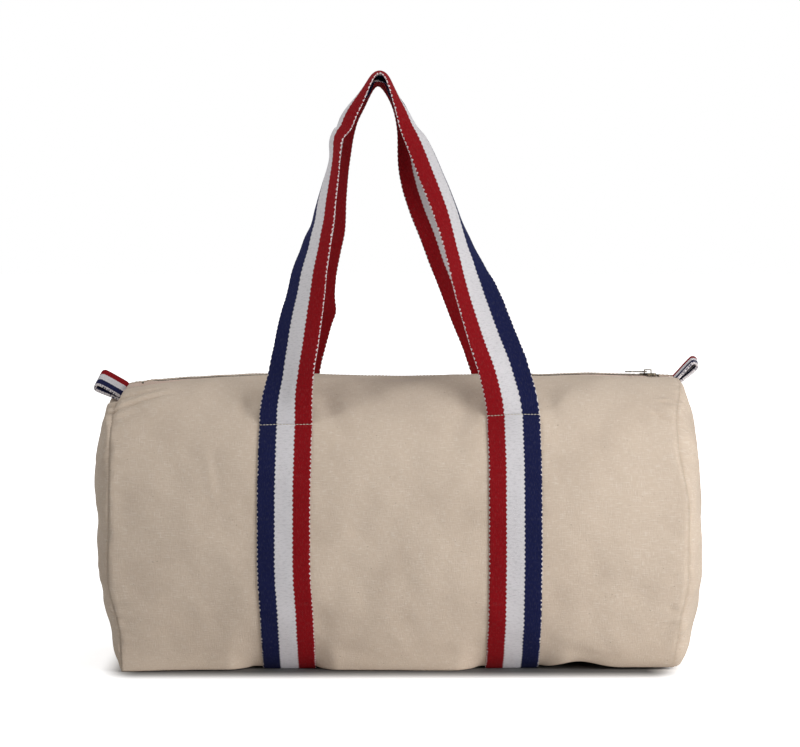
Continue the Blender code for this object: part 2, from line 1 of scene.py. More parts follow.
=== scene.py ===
"""Looks of a barrel-shaped travel bag: natural cotton canvas, tricolour webbing handles and a metal zip.

Metres, +Z up, X along the bag, the front at -Y, and the origin on the ground under its middle. A place on the
canvas is given by x and by its girth: the way along the cloth from the middle of the top, down the front, under
the bag and up the back.
"""

import logging
import math
from dataclasses import dataclass, field
from enum import Enum
from functools import partial

import bpy
import numpy as np
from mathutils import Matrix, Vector


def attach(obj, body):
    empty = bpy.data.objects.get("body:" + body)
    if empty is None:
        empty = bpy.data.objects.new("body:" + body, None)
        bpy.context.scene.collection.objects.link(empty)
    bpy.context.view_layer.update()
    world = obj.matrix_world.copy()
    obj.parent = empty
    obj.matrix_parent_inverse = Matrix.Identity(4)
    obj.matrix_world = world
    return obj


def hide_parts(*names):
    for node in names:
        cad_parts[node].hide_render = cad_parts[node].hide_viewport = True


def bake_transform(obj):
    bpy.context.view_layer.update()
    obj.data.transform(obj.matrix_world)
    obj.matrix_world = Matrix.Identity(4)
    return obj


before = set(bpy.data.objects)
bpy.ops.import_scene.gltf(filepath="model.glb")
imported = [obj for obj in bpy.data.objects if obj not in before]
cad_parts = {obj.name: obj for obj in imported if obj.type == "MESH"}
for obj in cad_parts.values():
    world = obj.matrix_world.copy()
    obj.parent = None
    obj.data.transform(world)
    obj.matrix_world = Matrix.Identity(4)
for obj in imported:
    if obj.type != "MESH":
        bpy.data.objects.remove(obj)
log = logging.getLogger("travel_bag")

Array = np.ndarray
MM = 0.001
CLOTH = "cloth"
NOISE_ROUGHNESS = 0.55


class Face(Enum):
    """The two long sides of the bag."""

    FRONT = "front"
    BACK = "back"

    @property
    def sign(self) -> int:
        """-1 for the front, at -Y, and 1 for the back."""
        return -1 if self is Face.FRONT else 1


class End(Enum):
    """The two ends of the bag."""

    LEFT = "left"
    RIGHT = "right"

    @property
    def sign(self) -> int:
        """-1 for the left end, at -X, and 1 for the right one."""
        return -1 if self is End.LEFT else 1


# ---------------------------------------------------------------- curves and surfaces


def smooth(share: Array) -> Array:
    """A share s held between 0 and 1 that starts and ends level: three times s squared less twice s cubed."""
    share = np.clip(share, 0.0, 1.0)
    return share * share * (3 - 2 * share)


def grows(value: Array, start: float, over: float) -> Array:
    """0 up to the start, and smoothly 1 from this far over it."""
    return smooth((value - start) / over)


def fades(value: Array, end: float, over: float) -> Array:
    """0 from the end on, and smoothly 1 up to this far before it."""
    return smooth((end - value) / over)


def bell(distance: Array, width: float) -> Array:
    """A bell of height 1: e to the power of minus the square of the distance in widths."""
    return np.exp(-((distance / width) ** 2))


def saw(along: Array, period: float) -> Array:
    """A triangle wave from 0 to 1 and back in each period."""
    return np.abs((along / period) % 1.0 * 2 - 1)


def unit(ways: Array) -> Array:
    """Directions with a length of 1, from vectors in the last axis."""
    return ways / np.linalg.norm(ways, axis=-1, keepdims=True)


def follow(marks: tuple, x: Array) -> Array:
    """A value that passes level through marks: between two marks it eases over as smooth does.

    Args:
        marks: pairs of a place and the value there, in the order of their places.
        x: the places asked for.

    Returns:
        The values there. Beyond the marks they are those of the first and the last one.
    """
    marks = np.array(marks)
    low = np.clip(np.searchsorted(marks[:, 0], x) - 1, 0, len(marks) - 2)
    share = smooth((x - marks[low, 0]) / (marks[low + 1, 0] - marks[low, 0]))
    return marks[low, 1] + (marks[low + 1, 1] - marks[low, 1]) * share


def slab_cells(rows: int, columns: int, wrap: bool = False, pole: bool = False) -> list[Array]:
    """Faces of a closed sheet: its outer grid, its reversed inner grid, and a wall along every free edge.

    Args:
        rows: rows of points in each grid.
        columns: points in a row.
        wrap: the last column joins the first.
        pole: the last row is closed by a cap on each face instead of a wall.

    Returns:
        Arrays of point indices, one array for each count of corners.
    """
    count = rows * columns
    index = np.arange(count).reshape(rows, columns)
    if wrap:
        index = np.concatenate((index, index[:, :1]), axis=1)
    corners = (index[:-1, :-1], index[1:, :-1], index[1:, 1:], index[:-1, 1:])
    top = np.stack(corners, axis=-1).reshape(-1, 4)
    rims = [index[0]]
    if not pole:
        rims.append(index[-1, ::-1])
    if not wrap:
        rims += [index[:, -1], index[::-1, 0]]
    walls = [np.stack((r[:-1], r[1:], r[1:] + count, r[:-1] + count), axis=-1) for r in rims]
    cells = [np.concatenate((top, top[:, ::-1] + count, *walls))]
    if pole:
        last = index[-1, :-1]
        cells += [last[None, ::-1], last[None] + count]
    return cells


def tube_cells(rings: int, corners: int) -> list[Array]:
    """Faces of a closed tube of rings of points, with a flat cap at both ends.

    Args:
        rings: number of rings along the tube.
        corners: points in a ring.

    Returns:
        Arrays of point indices, one array for each count of corners.
    """
    index = np.arange(rings * corners).reshape(rings, corners)
    looped = np.concatenate((index, index[:, :1]), axis=1)
    sides = np.stack((looped[:-1, :-1], looped[1:, :-1], looped[1:, 1:], looped[:-1, 1:]), axis=-1)
    return [sides.reshape(-1, 4), index[:1], index[-1:, ::-1]]


def volume(points: Array, cells: list[Array]) -> float:
    """Volume inside closed faces, a sixth of the sum of a fan's corner products.

    Args:
        points: the points, (n, 3).
        cells: the faces, as arrays of point indices.

    Returns:
        The volume, below zero where the faces point inwards.
    """
    total = 0.0
    for group in cells:
        first = points[group[:, 0]]
        for k in range(1, group.shape[1] - 1):
            total += float((first * np.cross(points[group[:, k]], points[group[:, k + 1]])).sum()) / 6
    return total


def add_piece(
    name: str,
    points: Array,
    cells: list[Array],
    finish: bpy.types.Material,
    cloth: Array | None = None,
    rounded: bool = True,
) -> bpy.types.Object:
    """Make an object from closed faces, turned outwards, with its cloth places kept as an attribute.

    Args:
        name: the piece's name.
        points: its points, in any grid shape, in metres.
        cells: its faces, as arrays of point indices.
        finish: its material.
        cloth: for each point, the place across and along the cloth in metres, which patterns follow.
        rounded: shade the faces as one curved surface.

    Returns:
        The new object, at the origin.
    """
    points = np.ascontiguousarray(points.reshape(-1, 3))
    if volume(points, cells) < 0:
        cells = [group[:, ::-1] for group in cells]
    mesh = bpy.data.meshes.new(name)
    corners = np.concatenate([group.ravel() for group in cells]).astype(np.int32)
    totals = np.concatenate([np.full(len(group), group.shape[1]) for group in cells])
    starts = np.concatenate(([0], np.cumsum(totals)[:-1])).astype(np.int32)
    mesh.vertices.add(len(points))
    mesh.vertices.foreach_set("co", points.ravel().astype(np.float32))
    mesh.loops.add(len(corners))
    mesh.polygons.add(len(totals))
    mesh.polygons.foreach_set("loop_start", starts)
    mesh.polygons.foreach_set("vertices", corners)
    mesh.polygons.foreach_set("use_smooth", np.full(len(totals), rounded))
    mesh.update(calc_edges=True)
    if cloth is not None:
        places = np.zeros((len(points), 3), np.float32)
        places[:, : cloth.shape[-1]] = cloth.reshape(-1, cloth.shape[-1])
        mesh.attributes.new(CLOTH, "FLOAT_VECTOR", "POINT").data.foreach_set("vector", places.ravel())
    mesh.materials.append(finish)
    piece = bpy.data.objects.new(name, mesh)
    bpy.context.scene.collection.objects.link(piece)
    log.info("%s: %d faces", name, len(totals))
    return piece


def bend_between(piece: bpy.types.Object) -> None:
    """Bake a piece's transform into its mesh.

    Args:
        piece: the finished piece.
    """
    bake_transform(piece)


def stamp(shape: Array, cells: list[Array], origins: Array, axes: Array) -> tuple[Array, list[Array]]:
    """Copies of one small shape, each turned into its own three axes and put at its own origin.

    Args:
        shape: the points of the shape, (k, 3).
        cells: its faces.
        origins: where the copies go, (n, 3).
        axes: each copy's x, y and z directions as rows, (n, 3, 3).

    Returns:
        All points and all faces.
    """
    points = origins[:, None] + np.einsum("kj,njc->nkc", shape, axes)
    offsets = np.arange(len(origins))[:, None, None] * len(shape)
    return points, [(group[None] + offsets).reshape(-1, group.shape[1]) for group in cells]


def stitch_shape(length: float, width: float) -> tuple[Array, list[Array]]:
    """One stitch: rings of six points that swell along its length as an ellipse does, closed by caps.

    Args:
        length: its length along x.
        width: its width and height.

    Returns:
        Points and faces.
    """
    count, corners, taper, tip = 5, 6, 1.88, 0.02
    along = np.linspace(-0.5, 0.5, count)[:, None]
    swell = np.sqrt(np.clip(1 - (along * taper) ** 2, tip, 1)) * width / 2
    turn = np.arange(corners) * 2 * math.pi / corners
    rings = np.broadcast_arrays(along * length, swell * np.cos(turn), swell * np.sin(turn))
    return np.stack(rings, axis=-1).reshape(-1, 3), tube_cells(count, corners)


@dataclass(frozen=True)
class Waves:
    """Irregular waves in cloth: a sum of sines that run in random directions with random lengths and phases."""

    seed: int
    count: int
    short: float
    long: float
    size: float

    def at(self, u: Array, v: Array, more: int = 0) -> Array:
        """Height of the waves, with wavelengths between short and long, spread evenly in their logarithm.

        Args:
            u: first place on the cloth, in metres.
            v: second place on the cloth, in metres.
            more: added to the seed, so that two pieces differ.

        Returns:
            The height at each place, in metres, mostly below the size.
        """
        draw = np.random.default_rng(self.seed + more)
        total = np.zeros(np.broadcast(u, v).shape)
        for _ in range(self.count):
            length = math.exp(draw.uniform(math.log(self.short), math.log(self.long)))
            turn, phase = draw.uniform(0, 2 * math.pi, 2)
            total += np.sin(2 * math.pi * (u * math.cos(turn) + v * math.sin(turn)) / length + phase)
        return total * math.sqrt(2 / self.count) * self.size


@dataclass(frozen=True)
class Dent:
    """A soft hollow in the canvas, at x and a height, with its half widths and depth, in metres.

    Its middle moves along x by its lean for each metre down the cloth.
    """

    x: float
    height: float
    half_x: float
    half_height: float
    depth: float
    lean: float


@dataclass(frozen=True)
class Crease:
    """A narrow fold in the canvas between two places (x, height): a valley with a low ridge beside it."""

    start: tuple[float, float]
    end: tuple[float, float]
    width: float
    depth: float
    # The ridge's share of the depth and its distance in widths, and how the fold starts and ends along its length
    ridge: float = 0.6
    ridge_at: float = 1.7
    start_growth: tuple = (-0.15, 0.25)
    end_fade: tuple = (1.1, 0.5)


@dataclass
class BagForm:
    """The canvas as the bag's contents and its seams shape it.

    The section is one closed curve: a superellipse for the dome, another for the lower half, cut flat under the
    bag. Along x it carries a low wave of the zip, hollows beside the straps and folds that run from the seams.
    A pair named after a fade or a growth says where it is over, or starts, and how far it takes, in metres.
    """

    half_length: float = 0.250
    depth: float = 0.270
    base: float = 0.0021
    height: float = 0.2629
    widest_share: float = 0.48
    base_cut_share: float = 0.955
    dome_roundness: float = 2.4
    base_roundness: float = 3.2
    section_points: int = 4000
    slope_reach: float = 1.5 * MM
    mouth_half_gap: float = 0.0095
    mouth_fade: tuple = (0.2044, 0.085)
    lip_fade: tuple = (0.102, 0.05)
    stitch_heights: tuple = (0.2214, 0.2300)
    strap_inners: tuple = (0.0780, 0.0812)
    webbing_width: float = 0.048
    # How far the left and the right end seam stand out from the plain plane, in millimetres, at heights in metres
    seam_reach: tuple = (
        ((0.0, -1.0), (0.03, 0.5), (0.085, 11.0), (0.15, 9.5), (0.21, 9.5), (0.265, 7.5)),
        ((0.0, 1.0), (0.035, 5.0), (0.085, 12.5), (0.145, 13.0), (0.21, 4.0), (0.228, 3.5), (0.265, 10.0)),
    )
    seam_growth: tuple = (0.19, 0.06)
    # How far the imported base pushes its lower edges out, in millimetres
    base_fill: tuple = ((-0.25, 50.0), (-0.17, 42.0), (-0.06, 40.0), (0.04, 42.0), (0.12, 34.0), (0.25, 30.0))
    fill_fall: float = 0.015
    fill_growth: tuple = (0.0, 0.07)
    # How far the canvas beside the straps lies over the base of the plain section, in millimetres
    base_lift: tuple = ((-0.25, -1.9), (-0.16, -1.1), (0.03, -1.9), (0.12, -0.9), (0.2, -0.4), (0.25, -0.2))
    # Where the straps hold the canvas in, where they press it on the ground and where they smooth it
    strap_middle: float = 0.1035
    pressed_middle: float = 0.1025
    hold: float = 0.5
    hold_fade: tuple = (0.050, 0.026)
    press_fade: tuple = (0.036, 0.009)
    smooth_fade: tuple = (0.036, 0.014)
    # How far the front of the left and the right strap lies to the right of its straight place, in millimetres
    strap_shift: tuple = (
        (
            (0.0, 4.2), (0.02, 3.6), (0.036, 2.9), (0.052, 2.3), (0.067, 1.4), (0.082, 0.3), (0.1, -0.2),
            (0.16, -0.2), (0.2, 0.6), (0.222, 1.2),
        ),
        ((0.0, -1.2), (0.02, -0.3), (0.05, 0.8), (0.1, 1.2), (0.18, 1.0), (0.23, 0.0)),
    )
    strap_straightening: float = 0.07
    # The lower edge of the front rises in a low arch beside the right strap
    arch_at: float = 0.164
    arch_width: float = 0.022
    arch_rise: float = 6.5 * MM
    arch_fall: float = 0.03
    arch_growth: tuple = (0.03, 0.06)
    # Height of the zip line over its usual one, in millimetres, along x in metres
    zip_wave: tuple = (
        (-0.25, -21.0), (-0.2425, -8.2), (-0.235, -6.8), (-0.222, -4.9), (-0.19, -2.6), (-0.16, -1.0),
        (-0.126, 0.3), (0.0, -1.5), (0.13, 0.0), (0.18, 1.2), (0.215, 0.3), (0.233, 0.0), (0.25, -0.6),
    )
    wave_fade: tuple = (0.13, 0.11)
    # How far the canvas edge lies under the zip, in millimetres on the front and in metres on the back
    front_edge_sink: tuple = (
        (-0.25, 4.6), (-0.22, 4.8), (-0.185, 3.0), (-0.15, 1.8), (-0.08, 0.5), (0.06, 0.8), (0.12, 2.2),
        (0.2, 3.4), (0.25, 3.2),
    )
    back_edge_sink: float = 1.2 * MM
    # Broad swells, ripples, which are stronger near the base, and the finest ripples
    swells: Waves = Waves(3, 14, 0.07, 0.16, 0.9 * MM)
    rippling: Waves = Waves(5, 18, 0.022, 0.055, 0.22 * MM)
    low_share: float = 0.12 / 0.22
    low_fade: tuple = (0.10, 0.09)
    fine_rippling: Waves = Waves(8, 18, 0.009, 0.02, 0.07 * MM)
    fine_stretch: float = 0.6
    # The groove that the end seam draws into the canvas, its uneven pull, and its puckers
    seam_width: float = 2.4 * MM
    seam_depth: float = 1.5 * MM
    seam_pull: Waves = Waves(11, 9, 0.02, 0.07, 0.35)
    seam_slope: tuple = (0.05, 1.0 * MM)
    puckers: Waves = Waves(12, 10, 0.007, 0.013, 0.36 * MM)
    pucker_stretch: float = 0.3
    pucker_fade: tuple = (0.022, 0.022)
    dents: tuple = (
        Dent(-0.1345, 0.2420, 0.0080, 0.018, 3.4 * MM, 0.15), Dent(-0.0630, 0.2400, 0.0120, 0.021, 3.6 * MM, -0.2),
        Dent(0.0640, 0.2400, 0.0110, 0.021, 3.2 * MM, 0.2), Dent(0.1400, 0.2400, 0.0090, 0.019, 2.4 * MM, -0.1),
        Dent(-0.1780, 0.0450, 0.0300, 0.016, 1.4 * MM, 0.3), Dent(-0.0100, 0.0430, 0.0420, 0.015, 1.6 * MM, 0.0),
        Dent(0.1900, 0.0400, 0.0260, 0.016, 1.3 * MM, -0.3),
    )
    back_dents: float = 0.8
    creases: tuple = (
        Crease((-0.2520, 0.2490), (-0.2100, 0.2550), 2.2 * MM, 2.3 * MM),
        Crease((-0.2540, 0.2370), (-0.2050, 0.2505), 2.6 * MM, 2.6 * MM),
        Crease((-0.2530, 0.2250), (-0.2300, 0.2340), 2.6 * MM, 1.2 * MM),
        Crease((0.2350, 0.2435), (0.2560, 0.2424), 1.8 * MM, 2.2 * MM),
        Crease((0.2300, 0.2330), (0.2530, 0.2245), 2.4 * MM, 2.0 * MM),
        Crease((0.2380, 0.0580), (0.2530, 0.0520), 2.2 * MM, 1.2 * MM),
        Crease((0.2360, 0.0400), (0.2530, 0.0470), 2.2 * MM, 1.0 * MM),
        Crease((-0.2530, 0.0500), (-0.2380, 0.0450), 2.2 * MM, 1.0 * MM),
        Crease((-0.1725, 0.1970), (-0.1635, 0.1480), 4.0 * MM, -0.5 * MM),
    )
    back_creases: float = 0.7
    # Near the ground the canvas is calm, and where it lies on it, it hardly stands out
    strap_calm_fade: tuple = (0.03, 0.02)
    ground_calm: float = 0.85
    ground_calm_fade: tuple = (0.022, 0.018)
    ground_height: float = 0.012
    ground_proud: float = 0.2 * MM
    zip_growth: tuple = (0.004, 0.03)
    edge_from: float = 0.05
    girths: Array = field(init=False)
    across: Array = field(init=False)
    heights: Array = field(init=False)
    outwards: Array = field(init=False)

    def __post_init__(self) -> None:
        """Work out the section's curve and its outward directions.

        The way across goes with the sine of an angle and the height with its cosine, each to the power of 2 over
        the roundness, and an outward direction is the slope of the curve, turned by a quarter.
        """
        widest = self.base + self.height * self.widest_share
        dome = self.base + self.height - widest
        under = (widest - self.base) / self.base_cut_share
        angle = np.linspace(0, math.pi, self.section_points)
        sine, cosine = np.abs(np.sin(angle)), np.cos(angle)
        power = 2 / np.where(cosine >= 0, self.dome_roundness, self.base_roundness)
        self.across = self.depth / 2 * sine**power
        self.across[-1] = 0
        rise = np.where(cosine >= 0, dome, under)
        self.heights = np.maximum(widest + rise * np.sign(cosine) * np.abs(cosine) ** power, self.base)
        steps = np.hypot(np.diff(self.across), np.diff(self.heights))
        self.girths = np.concatenate(([0], np.cumsum(steps)))
        low, high = (np.clip(self.girths + way, 0, self.half) for way in (-self.slope_reach, self.slope_reach))
        slope = np.stack([
            np.interp(high, self.girths, line) - np.interp(low, self.girths, line)
            for line in (self.across, self.heights)
        ])
        slope /= np.hypot(*slope)
        self.outwards = np.stack((-slope[1], slope[0]))
        self.outwards[:, 0] = (0, 1)

    @property
    def half(self) -> float:
        """Girth of the middle of the base."""
        return float(self.girths[-1])

    @property
    def full(self) -> float:
        """The whole way round the section."""
        return self.half * 2

    def near(self, girth: Array) -> Array:
        """The shorter way round from the middle of the top, by the front or by the back."""
        return np.minimum(girth, self.full - girth)

    def girth_at(self, height: float) -> float:
        """Girth of the place on the front at this height, past the flat middle of the top."""
        start = int(np.argmax(self.girths > self.mouth_half_gap))
        return float(np.interp(-height, -self.heights[start:], self.girths[start:]))

    def stitch_girth(self, end: End) -> float:
        """Girth of the stitch line where the front of one strap ends."""
        return self.girth_at(self.stitch_heights[end is End.RIGHT])

    def strap_at(self, end: End, girth: Array) -> Array:
        """Where the inner edge of a strap lies along x: it leans on the front and runs straight on the back.

        Args:
            end: the side of the bag.
            girth: places round it.

        Returns:
            The straight place and, in full on the front, its shift.
        """
        right = end is End.RIGHT
        shift = follow(self.strap_shift[right], np.interp(girth, self.girths, self.heights)) * MM
        return end.sign * self.strap_inners[right] + shift * fades(girth, self.half, self.strap_straightening)

    def wave(self, x: Array) -> Array:
        """Height of the zip line over its usual one, through the marks of zip_wave."""
        return follow(self.zip_wave, x) * MM

    def sink(self, x: Array, face: Face) -> Array:
        """How far the canvas edge lies under the zip on one face; below zero where it stands over it."""
        return follow(self.front_edge_sink, x) * MM if face is Face.FRONT else np.full(np.shape(x), self.back_edge_sink)

    def place(self, x: Array, girth: Array, proud: Array | float = 0.0) -> Array:
        """Points of the plain section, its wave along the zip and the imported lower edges, which stand squarer.

        The fill falls with the height as e to the power of minus its share of fill_fall, and the lift as the square
        of that. Near the ends the form is stretched along x, so that the end seams lie as seam_reach says.

        Args:
            x: places along the bag.
            girth: places round it.
            proud: how far outwards from the outer face of the canvas.

        Returns:
            Points, with x, y and z last.
        """
        x, girth, proud = np.broadcast_arrays(x, girth, proud)
        near = self.near(girth)
        side = np.where(girth <= self.half, -1.0, 1.0)
        across, plain, outward, upward = (
            np.interp(near, self.girths, line) for line in (self.across, self.heights, *self.outwards)
        )
        below = near > self.half / 2
        low = np.exp(-(plain - self.base) / self.fill_fall) * below
        held = 1 - self.hold * fades(np.abs(np.abs(x) - self.strap_middle), *self.hold_fade)
        across = across + follow(self.base_fill, x) * MM * low * grows(across, *self.fill_growth) * held
        pressed = fades(np.abs(np.abs(x) - self.pressed_middle), *self.press_fade)
        height = plain + follow(self.base_lift, x) * MM * (1 - pressed) * low**2
        arch = bell(x - self.arch_at, self.arch_width) * grows(across, *self.arch_growth) * (side < 0)
        height = height + self.arch_rise * arch * np.exp(-height / self.arch_fall) * below
        across = across + outward * proud
        height = height + upward * proud + self.wave(x) * fades(near, *self.wave_fade)
        reach = np.where(x < 0, *(follow(marks, plain) for marks in self.seam_reach)) * MM
        x = x + np.sign(x) * reach * grows(np.abs(x), *self.seam_growth)
        return np.stack((x, side * across, np.maximum(height, 0.0)), axis=-1)

    def hollow(self, mark: Dent, x: Array, near: Array) -> Array:
        """Depth of one dent: a bell along x times a bell along the girth."""
        down = near - self.girth_at(mark.height)
        away = (x - mark.x + mark.lean * down) / mark.half_x
        return mark.depth * np.exp(-(away**2) - (down / mark.half_height) ** 2)

    def fold(self, mark: Crease, x: Array, near: Array) -> Array:
        """Depth of one crease: a bell across its line less a share of the same bell beside it, faded at both ends.

        Args:
            mark: the crease.
            x: places along the bag.
            near: places round it, from the middle of the top.

        Returns:
            The depth at each place.
        """
        start = np.array((mark.start[0], self.girth_at(mark.start[1])))
        run = np.array((mark.end[0], self.girth_at(mark.end[1]))) - start
        length = float(np.hypot(*run))
        way = ((x - start[0]) * run[0] + (near - start[1]) * run[1]) / length**2
        off = ((x - start[0]) * run[1] - (near - start[1]) * run[0]) / length
        shape = bell(off, mark.width) - mark.ridge * bell(off - mark.ridge_at * mark.width, mark.width)
        return mark.depth * shape * grows(way, *mark.start_growth) * fades(way, *mark.end_fade)

    def relief(self, x: Array, girth: Array) -> Array:
        """How far the canvas stands out from the plain section, in metres.

        It adds up waves, hollows, folds and the puckered end seams, and fades under the straps, on the ground and at
        the zip, where the canvas edge lies lower than the zip.

        Args:
            x: places along the bag.
            girth: places round it.

        Returns:
            The outward distance at each place.
        """
        x, girth = np.broadcast_arrays(x, girth)
        near = self.near(girth)
        height = np.interp(near, self.girths, self.heights)
        front = girth <= self.half
        total = self.swells.at(x, girth)
        total += self.rippling.at(x, girth) * (1 + self.low_share * fades(height, *self.low_fade))
        total += self.fine_rippling.at(x * self.fine_stretch, girth)
        for mark in self.dents:
            total -= self.hollow(mark, x, near) * np.where(front, 1.0, self.back_dents)
        for mark in self.creases:
            total -= self.fold(mark, x, near) * np.where(front, 1.0, self.back_creases)
        seam = self.half_length - np.abs(x)
        pull = 1 + self.seam_pull.at(girth, girth * 0)
        pucker = self.puckers.at(girth, x * self.pucker_stretch) * fades(seam, *self.pucker_fade)
        total -= bell(seam, self.seam_width) * self.seam_depth * pull - pucker
        total -= fades(seam, self.seam_slope[0], self.seam_slope[0]) * self.seam_slope[1]
        strap = fades(np.abs(np.abs(x) - self.strap_middle), *self.smooth_fade)
        total *= 1 - strap * fades(height, *self.strap_calm_fade)
        total *= grows(near, *self.zip_growth)
        total *= 1 - self.ground_calm * fades(height, *self.ground_calm_fade)
        total = np.where(height < self.ground_height, np.minimum(total, self.ground_proud), total)
        edge = fades(near, self.edge_from, self.edge_from - self.mouth_half_gap)
        return total - np.where(front, self.sink(x, Face.FRONT), self.sink(x, Face.BACK)) * edge

    def over(self, x: Array, girth: Array, lift: Array | float) -> Array:
        """Points at this distance outwards from the canvas as it lies."""
        return self.place(x, girth, self.relief(x, girth) + lift)

    def mouth(self, x: Array) -> Array:
        """How far the edges of the mouth follow their fold: all of it in the middle, none towards the ends."""
        return fades(np.abs(x), *self.mouth_fade)

    def lip(self, x: Array, girth: Array) -> Array:
        """Share of the fold that a place on the canvas follows: the mouth's share, growing towards the zip."""
        return self.mouth(x) * fades(self.near(girth), *self.lip_fade)


# ---------------------------------------------------------------- finishes


def linear(code: str) -> tuple[float, float, float, float]:
    """The linear colour of an sRGB hex code such as #D1C0AF."""
    parts = [int(code[i : i + 2], 16) / 255 for i in (1, 3, 5)]
    return (*(p / 12.92 if p <= 0.04045 else ((p + 0.055) / 1.055) ** 2.4 for p in parts), 1.0)


def feed(tree: bpy.types.NodeTree, node: bpy.types.Node, sockets: dict) -> None:
    """Give a node's sockets values or links.

    Args:
        tree: the node tree.
        node: the node.
        sockets: for each socket, by name or number, a value, the output that feeds it, or a node whose first output
            in use does.
    """
    for key, value in sockets.items():
        if isinstance(value, bpy.types.Node):
            value = next(output for output in value.outputs if output.enabled)
        if isinstance(value, bpy.types.NodeSocket):
            tree.links.new(value, node.inputs[key])
        else:
            node.inputs[key].default_value = value


def add_node(tree: bpy.types.NodeTree, kind: str, *values: object, **settings: object) -> bpy.types.Node:
    """Add a node with its settings and links.

    Args:
        tree: the node tree.
        kind: the node's type name, without the word ShaderNode.
        values: what feed gives to its sockets in use, in their order.
        settings: its own properties, and under a name with a capital what feed gives to the socket of that name.

    Returns:
        The new node.
    """
    node = tree.nodes.new("ShaderNode" + kind)
    named = {key: value for key, value in settings.items() if key[0].isupper()}
    for key, value in settings.items():
        if key not in named:
            setattr(node, key, value)
    numbers = [number for number, socket in enumerate(node.inputs) if socket.enabled]
    feed(tree, node, dict(zip(numbers, values)) | named)
    return node


def set_stops(ramp: bpy.types.Node, stops: list) -> None:
    """Give a colour ramp its stops.

    Args:
        ramp: its node.
        stops: pairs of a place and a linear colour, in the order of their places.
    """
    marks = ramp.color_ramp.elements
    while len(marks) < len(stops):
        marks.new(0.5)
    for mark, (place, colour) in zip(marks, stops):
        mark.position = place
        mark.color = colour


def grain(tree: bpy.types.NodeTree, places: object, across: float, along: float, detail: float = 2.0,
          shift: float = 0.0) -> bpy.types.Node:
    """A noise pattern whose grain measures 1 / across metres across the cloth and 1 / along metres along it.

    Args:
        tree: the node tree.
        places: the output with the places on the cloth, in metres.
        across: grains in a metre across.
        along: grains in a metre along.
        detail: how many finer layers it has.
        shift: moves the pattern, so that two differ.

    Returns:
        The noise, about 0.5 on average.
    """
    scaled = add_node(tree, "VectorMath", places, (across, along, 1.0), (shift,) * 3, operation="MULTIPLY_ADD")
    return add_node(tree, "TexNoise", scaled, 1.0, detail, NOISE_ROUGHNESS)


def tint(tree: bpy.types.NodeTree, colour: object, tone: str, pattern: object, low: float, high: float,
         strength: float | None = None) -> bpy.types.Node:
    """Lay a tone over a colour where a pattern passes from low to high, easing in and out.

    Args:
        tree: the node tree.
        colour: the colour under it.
        tone: the hex code of the tone.
        pattern: the node of the pattern.
        low: the pattern's value where the tone starts.
        high: its value where the tone is laid in full.
        strength: the tone's share there, all of it unless given.

    Returns:
        The new colour.
    """
    share = add_node(tree, "MapRange", pattern, low, high, interpolation_type="SMOOTHSTEP")
    if strength is not None:
        share = add_node(tree, "Math", share, strength, operation="MULTIPLY")
    return add_node(tree, "Mix", share, colour, linear(tone), data_type="RGBA")


@dataclass(frozen=True)
class Finish:
    """A material with one shader."""

    name: str

    def start(self) -> tuple[bpy.types.Material, bpy.types.NodeTree, bpy.types.Node]:
        """Make the bare material.

        Returns:
            The material, its tree and its shader.
        """
        made = bpy.data.materials.new(self.name)
        made.use_nodes = True
        return made, made.node_tree, made.node_tree.nodes["Principled BSDF"]


@dataclass(frozen=True)
class CottonCanvas(Finish):
    """Unbleached cotton canvas in plain weave.

    The eye sees a warm greyish beige with slubs, thicker bits of thread that lie along and across it, a few dark
    specks of seed coat and a soft blotchiness where the cloth has been handled. Towards the end seams the cloth is
    painted darker in the specks' tone, as painted shade in the seams' fold.
    Threads are 0.9 mm apart.
    """

    ground: str = "#D1BFAC"
    pale: str = "#DDD0C2"
    dark: str = "#A79280"
    # Dark specks in the cloth, and the painted shade along the end seams' fold, take this tone
    speck_and_seam_shade: str = "#7D6852"
    thread: float = 0.9 * MM
    slub: float = 7.0
    blotches: float = 17.0
    # Painted shade: from the first to the second distance along x from the middle, the cloth darkens towards the end
    # seam
    seam: tuple = (0.2472, 0.2496)

    def make(self) -> bpy.types.Material:
        """Build the material.

        Returns:
            The material.
        """
        made, tree, shader = self.start()
        node = partial(add_node, tree)
        places = node("Attribute", attribute_name=CLOTH).outputs["Vector"]
        threads = 1 / self.thread
        weft = grain(tree, places, threads / self.slub, threads)
        warp = grain(tree, places, threads, threads / self.slub, shift=31.0)
        blotch = grain(tree, places, self.blotches, self.blotches, detail=4.0, shift=7.0)
        fibre = grain(tree, places, threads * 0.55, threads * 0.55, shift=3.0)
        colour = tint(tree, linear(self.ground), self.pale, weft, 0.5, 0.78)
        colour = tint(tree, colour, self.pale, warp, 0.54, 0.82)
        colour = tint(tree, colour, self.dark, warp, 0.5, 0.2, strength=0.15)
        colour = tint(tree, colour, self.dark, weft, 0.48, 0.2, strength=0.13)
        colour = tint(tree, colour, self.dark, blotch, 0.55, 0.3, strength=0.16)
        speck = grain(tree, places, threads * 0.32, threads * 0.6, detail=1.0, shift=55.0)
        colour = tint(tree, colour, self.speck_and_seam_shade, speck, 0.73, 0.8, strength=0.6)
        # Painted shade: a quarter of the specks' tone is laid over the cloth towards both end seams, where their fold
        # lies in shade
        lengthwise = node("Math", node("SeparateXYZ", places), operation="ABSOLUTE")
        colour = tint(tree, colour, self.speck_and_seam_shade, lengthwise, *self.seam, strength=0.25)
        rough = node("Math", fibre, 0.16, 0.82, operation="MULTIPLY_ADD")
        height = node("Math", weft, warp, operation="ADD")
        height = node("Math", fibre, 0.7, height, operation="MULTIPLY_ADD")
        bump = node("Bump", Height=height, Strength=0.28, Distance=0.8 * MM)
        feed(tree, shader, {"Base Color": colour, "Roughness": rough, "Normal": bump, "Specular IOR Level": 0.25})
        feed(tree, shader, {"Sheen Weight": 0.04, "Sheen Roughness": 0.6})
        return made


